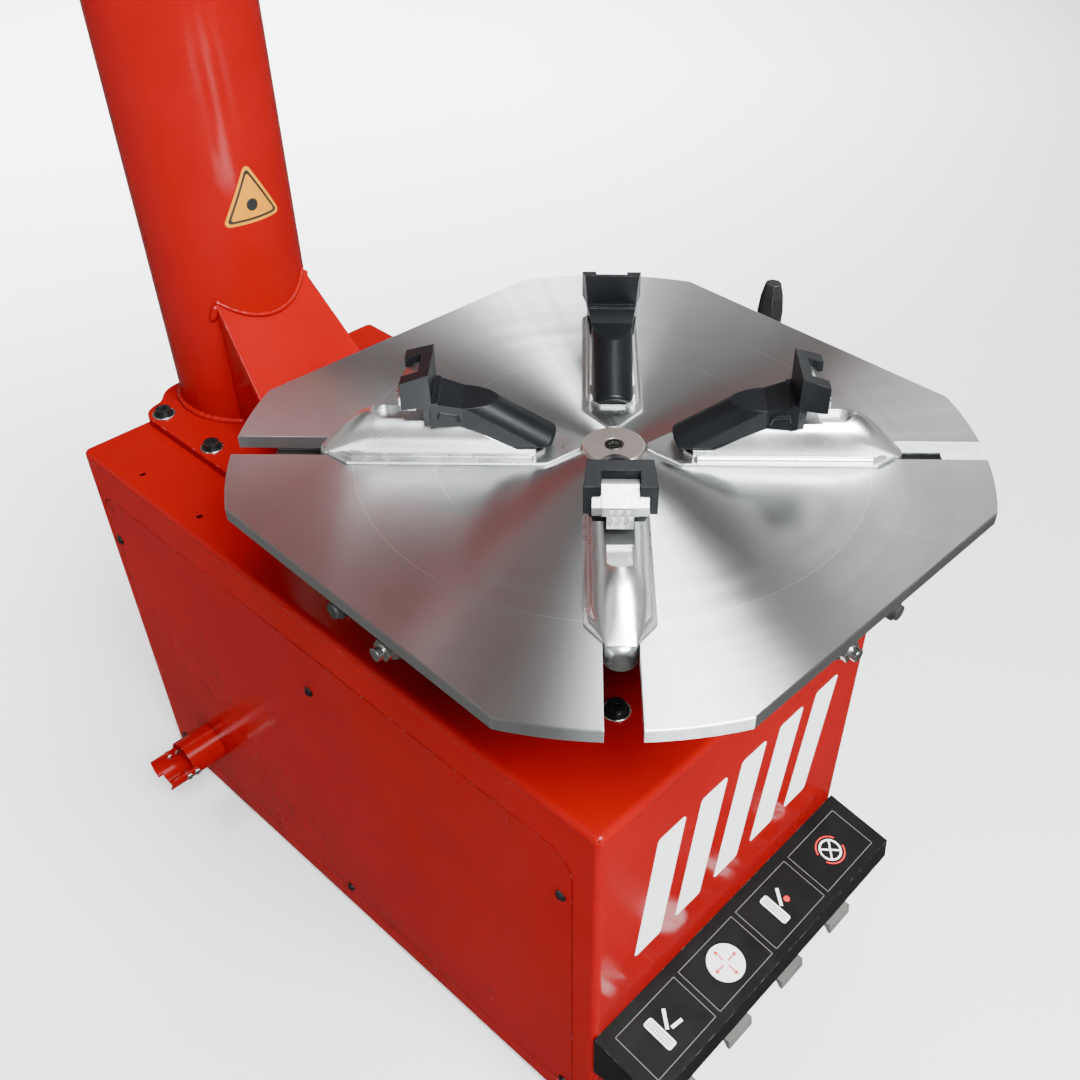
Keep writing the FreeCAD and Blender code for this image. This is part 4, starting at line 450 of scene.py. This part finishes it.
def make_marks():
    # slanted stripes on the cabinet's front
    stripes = []
    width, pitch, lean = 42, 66, 26
    low_z, high_z = 302, 478
    for index in range(5):
        x = -164 + index * pitch
        stripes.append(rounded([(x, low_z), (x + width, low_z), (x + width + lean, high_z),
                                (x + lean, high_z)], 5))
    sticker("front_stripes", "cabinet", "white", stripes, on_front)

    # three-cornered sign on the column, cut into narrow strips that follow the tube
    def triangle(shrink, radius):
        corners = [(-42, 818), (34, 818), (-4, 886)]
        middle = Vector((-4, 840.7))
        return rounded([tuple(middle + (Vector(c) - middle) * shrink) for c in corners], radius)

    layers = [("sign_back", "yellow", triangle(1.0, 5), 0.02, 0.12),
              ("sign_rim", "black", triangle(0.86, 3), 0.12, 0.18),
              ("sign_field", "yellow", triangle(0.74, 2), 0.18, 0.24),
              ("sign_dot", "black", circle((-4, 838), 7), 0.24, 0.30)]
    for name, colour, outline, low, high in layers:
        sticker(name, "cabinet", colour, [outline], on_column, low, high, range(-40, 36, 4))

    # pictograms on the pedal cover, each in a thin frame above its pedal
    lines, white, red, dark = [], [], [], []
    for centre in (-157.5, -52.5, 52.5, 157.5):
        left, right = centre - 48.5, centre + 48.5
        near, far = 14.5, 76.5
        for start, finish in (((left, near), (right, near)), ((right, near), (right, far)),
                              ((right, far), (left, far)), ((left, far), (left, near))):
            lines.append(stroke(start, finish, 0.9))
    middle = 45.5
    # turning table: spoked ring between two red arcs
    centre = (157.5, middle)
    white += [arc_band(centre, 13.6, 2.6, 1, 179), arc_band(centre, 13.6, 2.6, 181, 359)]
    for angle in (45, 135):
        run = Vector((math.cos(math.radians(angle)), math.sin(math.radians(angle)))) * 12.6
        white.append(stroke(tuple(Vector(centre) - run), tuple(Vector(centre) + run), 2.4))
    red += [arc_band(centre, 18.5, 2.0, 20, 160), arc_band(centre, 18.5, 2.0, 200, 340)]
    # jaws: pale disc with four red strokes from its middle
    centre = (-52.5, middle)
    white.append(circle(centre, 23))
    for angle in (0, 90, 180, 270):
        run = Vector((math.cos(math.radians(angle)), math.sin(math.radians(angle))))
        side = run.orthogonal()
        red.append(stroke(tuple(Vector(centre) + run * 4), tuple(Vector(centre) + run * 15), 1.6))
        tip = Vector(centre) + run * 19
        root = Vector(centre) + run * 14
        red.append([tuple(root - side * 3), tuple(tip), tuple(root + side * 3)])
    # bead breaker and tilt: ribbed block with bars beside it
    for centre_x in (-157.5, 52.5):
        white.append(rounded([(centre_x - 17, 26), (centre_x - 4, 26), (centre_x - 4, 65),
                              (centre_x - 17, 65)], 3))
        for rib in (-13.6, -10.5, -7.4):
            dark.append(stroke((centre_x + rib, 28.5), (centre_x + rib, 62.5), 0.8))
        white.append(stroke((centre_x - 1, 48), (centre_x + 13, 30), 4.0))
    white.append(stroke((-157.5 + 4, 50), (-157.5 + 19, 52), 4.0))
    red.append(circle((52.5 + 11, 47), 4))
    sticker("cover_frames", "cabinet", "grey", lines, on_cover, 0.02, 0.12)
    sticker("cover_marks", "cabinet", "white", white, on_cover, 0.02, 0.12)
    sticker("cover_red_marks", "cabinet", "red", red, on_cover, 0.13, 0.2)
    sticker("cover_ribs", "cabinet", "black", dark, on_cover, 0.13, 0.2)


# ---------------------------------------------------------------- weld seams

def weld(name, path, radius, closed=False, sides=10):
    """Painted weld bead: a rippled round seam swept along a path of points in mm."""
    work = bmesh.new()
    count = len(path)
    rings = []
    for index, point in enumerate(path):
        before = Vector(path[index - 1] if index or closed else path[0])
        after = Vector(path[(index + 1) % count] if index < count - 1 or closed else path[-1])
        along = (after - before).normalized()
        side = along.cross(Vector((0.13, 0.21, 0.97))).normalized()
        up = side.cross(along)
        swell = radius * (1 + 0.10 * math.sin(index * 1.57) + 0.05 * math.sin(index * 0.61))
        if not closed and index in (0, count - 1):
            swell *= 0.45
        ring = []
        for k in range(sides):
            angle = 2 * math.pi * k / sides
            place = Vector(point) + (side * math.cos(angle) + up * math.sin(angle)) * swell
            ring.append(work.verts.new(place / 1000))
        rings.append(ring)
    pairs = list(zip(rings, rings[1:]))
    if closed:
        pairs.append((rings[-1], rings[0]))
    else:
        work.faces.new(rings[0])
        work.faces.new(list(reversed(rings[-1])))
    for first, second in pairs:
        for k in range(sides):
            work.faces.new((first[k], first[(k + 1) % sides], second[(k + 1) % sides], second[k]))
    place_piece(name, work, MATERIALS["red_paint"], "cabinet", smooth=True)


def make_welds():
    foot = []
    steps = 220
    radius = COLUMN_RADIUS + 1.5
    for step in range(steps):
        angle = 2 * math.pi * step / steps
        foot.append((radius * math.cos(angle), COLUMN_Y + radius * math.sin(angle), FLANGE_TOP + 1.5))
    weld("column_weld", foot, 4.2, closed=True)
    # upper edge of the sloping gusset, where it meets the tube
    seam = []
    half_width = 62
    rise, run, foot_y = 152, 143, 182
    for step in range(61):
        x = half_width * (step / 30 - 1)
        y = COLUMN_Y - math.sqrt(COLUMN_RADIUS ** 2 - x ** 2)
        seam.append((x, y - 1, FLANGE_TOP + 10 + (y - foot_y) * rise / run))
    weld("gusset_weld", seam, 2.6)
    for side in (-1, 1):
        blob = [(side * (half_width + 0.6 * k), 325 + 0.8 * k, 728 - 2.6 * k) for k in range(9)]
        weld("gusset_corner_weld_%s" % ("left" if side < 0 else "right"), blob, 4.2)


# ---------------------------------------------------------------- washers and small bolts

def turned_parts(name, body, slot, profile, sides, spots, closed):
    """Equal turned parts in one mesh: (radius, height) profile in mm round the axis at each spot."""
    work = bmesh.new()
    for place, axis in spots:
        turn = Vector((0, 0, 1)).rotation_difference(Vector(axis))
        rings = []
        for radius, height in profile:
            ring = []
            for k in range(sides if radius else 1):
                angle = 2 * math.pi * k / sides
                arm = Vector((radius * math.cos(angle), radius * math.sin(angle), height))
                ring.append(work.verts.new((Vector(place) + turn @ arm) / 1000))
            rings.append(ring)
        pairs = list(zip(rings, rings[1:]))
        if closed:
            pairs.append((rings[-1], rings[0]))
        for first, second in pairs:
            for k in range(sides):
                corners = [first[k % len(first)], first[(k + 1) % len(first)],
                           second[(k + 1) % len(second)], second[k % len(second)]]
                work.faces.new(list(dict.fromkeys(corners)))
    place_piece(name, work, MATERIALS[slot], body)


def make_fasteners():
    # plain zinc washers that show as a thin rim round the black ones
    def rim(inner):
        return [(inner, 0.2), (inner + 1.5, 0.2), (inner + 1.9, 0.6), (inner + 1.9, 1.4),
                (inner + 1.5, 1.8), (inner, 1.8)]

    up = (0, 0, 1)
    column_spots = [((x, y, FLANGE_TOP), up) for x in (-119, 119) for y in (199, 304, 409)]
    turned_parts("column_washers", "cabinet", "zinc", rim(12.1), 40, column_spots, True)
    table_y = TABLE.y * 1000
    case_spots = [((x, table_y + y, CAB_TOP), up) for x in (-98, 98) for y in (-98, 98)]
    turned_parts("case_washers", "cabinet", "zinc", rim(12.6), 40, case_spots, True)
    # bolts through the sides of the lever holder: nut, shank and chamfered head
    inner = HOLDER_RADIUS - 3.7
    outer = HOLDER_RADIUS + 0.1
    screw = [(0, inner - 3.7), (3.8, inner - 3.7), (4.5, inner - 3.1), (4.5, inner), (2.6, inner),
             (2.6, outer), (5.2, outer), (5.2, outer + 3.0), (4.5, outer + 3.7), (0, outer + 3.9)]
    holder_spots = [((x, 307, 112), (0, side, 0)) for x in (-281, -269) for side in (-1, 1)]
    turned_parts("holder_bolts", "cabinet", "zinc", screw, 6, holder_spots, False)


make_marks()
make_welds()
make_fasteners()


# ---------------------------------------------------------------- stage, light and camera

def make_stage():
    mesh = bpy.data.meshes.new("floor")
    work = bmesh.new()
    half_side = 14
    bmesh.ops.create_grid(work, x_segments=1, y_segments=1, size=half_side)
    work.to_mesh(mesh)
    work.free()
    floor = bpy.data.objects.new("floor", mesh)
    bpy.context.scene.collection.objects.link(floor)
    m = Paint("floor_white").set(Roughness=0.6)
    shade = m.ramp(m.noise(0.8, 2, 0.5), [(0.3, 0.86), (0.7, 0.90)])
    mesh.materials.append(m.finish(shade))
    floor.visible_glossy = False      # keeps a pale veil off the red paint


def hang_lamp(name, data, place, target):
    """Put a lamp at `place`, aimed at `target`."""
    lamp = bpy.data.objects.new(name, data)
    lamp.location = place
    lamp.rotation_euler = (Vector(target) - Vector(place)).to_track_quat("-Z", "Y").to_euler()
    bpy.context.scene.collection.objects.link(lamp)
    return lamp


def area_light(name, place, target, size, power):
    data = bpy.data.lights.new(name, "AREA")
    data.shape = "RECTANGLE"
    data.size, data.size_y = size
    data.energy = power
    data.color = COOL
    return hang_lamp(name, data, place, target)


def make_world():
    """Dim warm surroundings with a pale band just above the floor's far edge."""
    world = bpy.data.worlds.new("studio")
    world.use_nodes = True
    tree = world.node_tree
    split = tree.nodes.new("ShaderNodeSeparateXYZ")
    tree.links.new(tree.nodes.new("ShaderNodeTexCoord").outputs["Generated"], split.inputs[0])
    centred = tree.nodes.new("ShaderNodeMath")
    centred.operation = "SUBTRACT"
    centred.inputs[1].default_value = 0.14
    tree.links.new(split.outputs["Z"], centred.inputs[0])
    distance = tree.nodes.new("ShaderNodeMath")
    distance.operation = "ABSOLUTE"
    tree.links.new(centred.outputs[0], distance.inputs[0])
    band = tree.nodes.new("ShaderNodeMapRange")
    tree.links.new(distance.outputs[0], band.inputs["Value"])
    for socket, value in (("From Min", 0.30), ("From Max", 0.12), ("To Min", 0.12), ("To Max", 0.55)):
        band.inputs[socket].default_value = value
    background = tree.nodes["Background"]
    background.inputs["Color"].default_value = (1.0, 0.97, 0.93, 1)
    tree.links.new(band.outputs["Result"], background.inputs["Strength"])
    bpy.context.scene.world = world


def make_lights():
    make_world()
    # two strips over the table draw the bright wedges in its ground face
    over = area_light("overhead", tuple(TABLE + Vector((0.40, 0.03, 1.75))), tuple(TABLE), (0.5, 1.5), 24)
    over.rotation_euler = (0, 0, math.radians(-41))
    area_light("side", tuple(TABLE + Vector((1.85, 0.50, 1.20))), tuple(TABLE), (0.45, 1.1), 6)
    area_light("fill", (-0.6, -2.3, 3.2), (0, 0, 0.45), (2.0, 1.6), 600)
    area_light("left", (-2.3, 0.2, 2.6), (0, 0, 0.5), (1.6, 1.2), 8)
    # spots that light only the floor behind the machine
    for name, place, target in (("back_spot", (1.6, 2.6, 4.6), (2.6, 3.8, 0)),
                                ("left_spot", (-2.4, 2.2, 4.6), (-2.8, 3.6, 0))):
        data = bpy.data.lights.new(name, "SPOT")
        data.energy = 7000
        data.spot_size = math.radians(100)
        data.spot_blend = 1.0
        data.shadow_soft_size = 1.0
        hang_lamp(name, data, place, target)


def make_camera():
    """Camera at the photograph's angle: its direction and its right-hand axis."""
    data = bpy.data.cameras.new("camera")
    data.sensor_width = 36
    data.lens = 38.67
    data.shift_x = -0.0744
    data.shift_y = 0.0533
    data.dof.use_dof = False
    camera = bpy.data.objects.new("camera", data)
    ahead = Vector((0.5676, 0.4817, -0.6677)).normalized()
    right = Vector((0.6654, -0.7460, 0.0273)).normalized()
    up = right.cross(ahead).normalized()
    right = ahead.cross(up).normalized()
    place = TABLE + Vector((-0.677, -0.5893, 0.6183))
    camera.matrix_world = Matrix.Translation(place) @ Matrix((right, up, -ahead)).transposed().to_4x4()
    bpy.context.scene.collection.objects.link(camera)
    bpy.context.scene.camera = camera


make_stage()
make_lights()
make_camera()
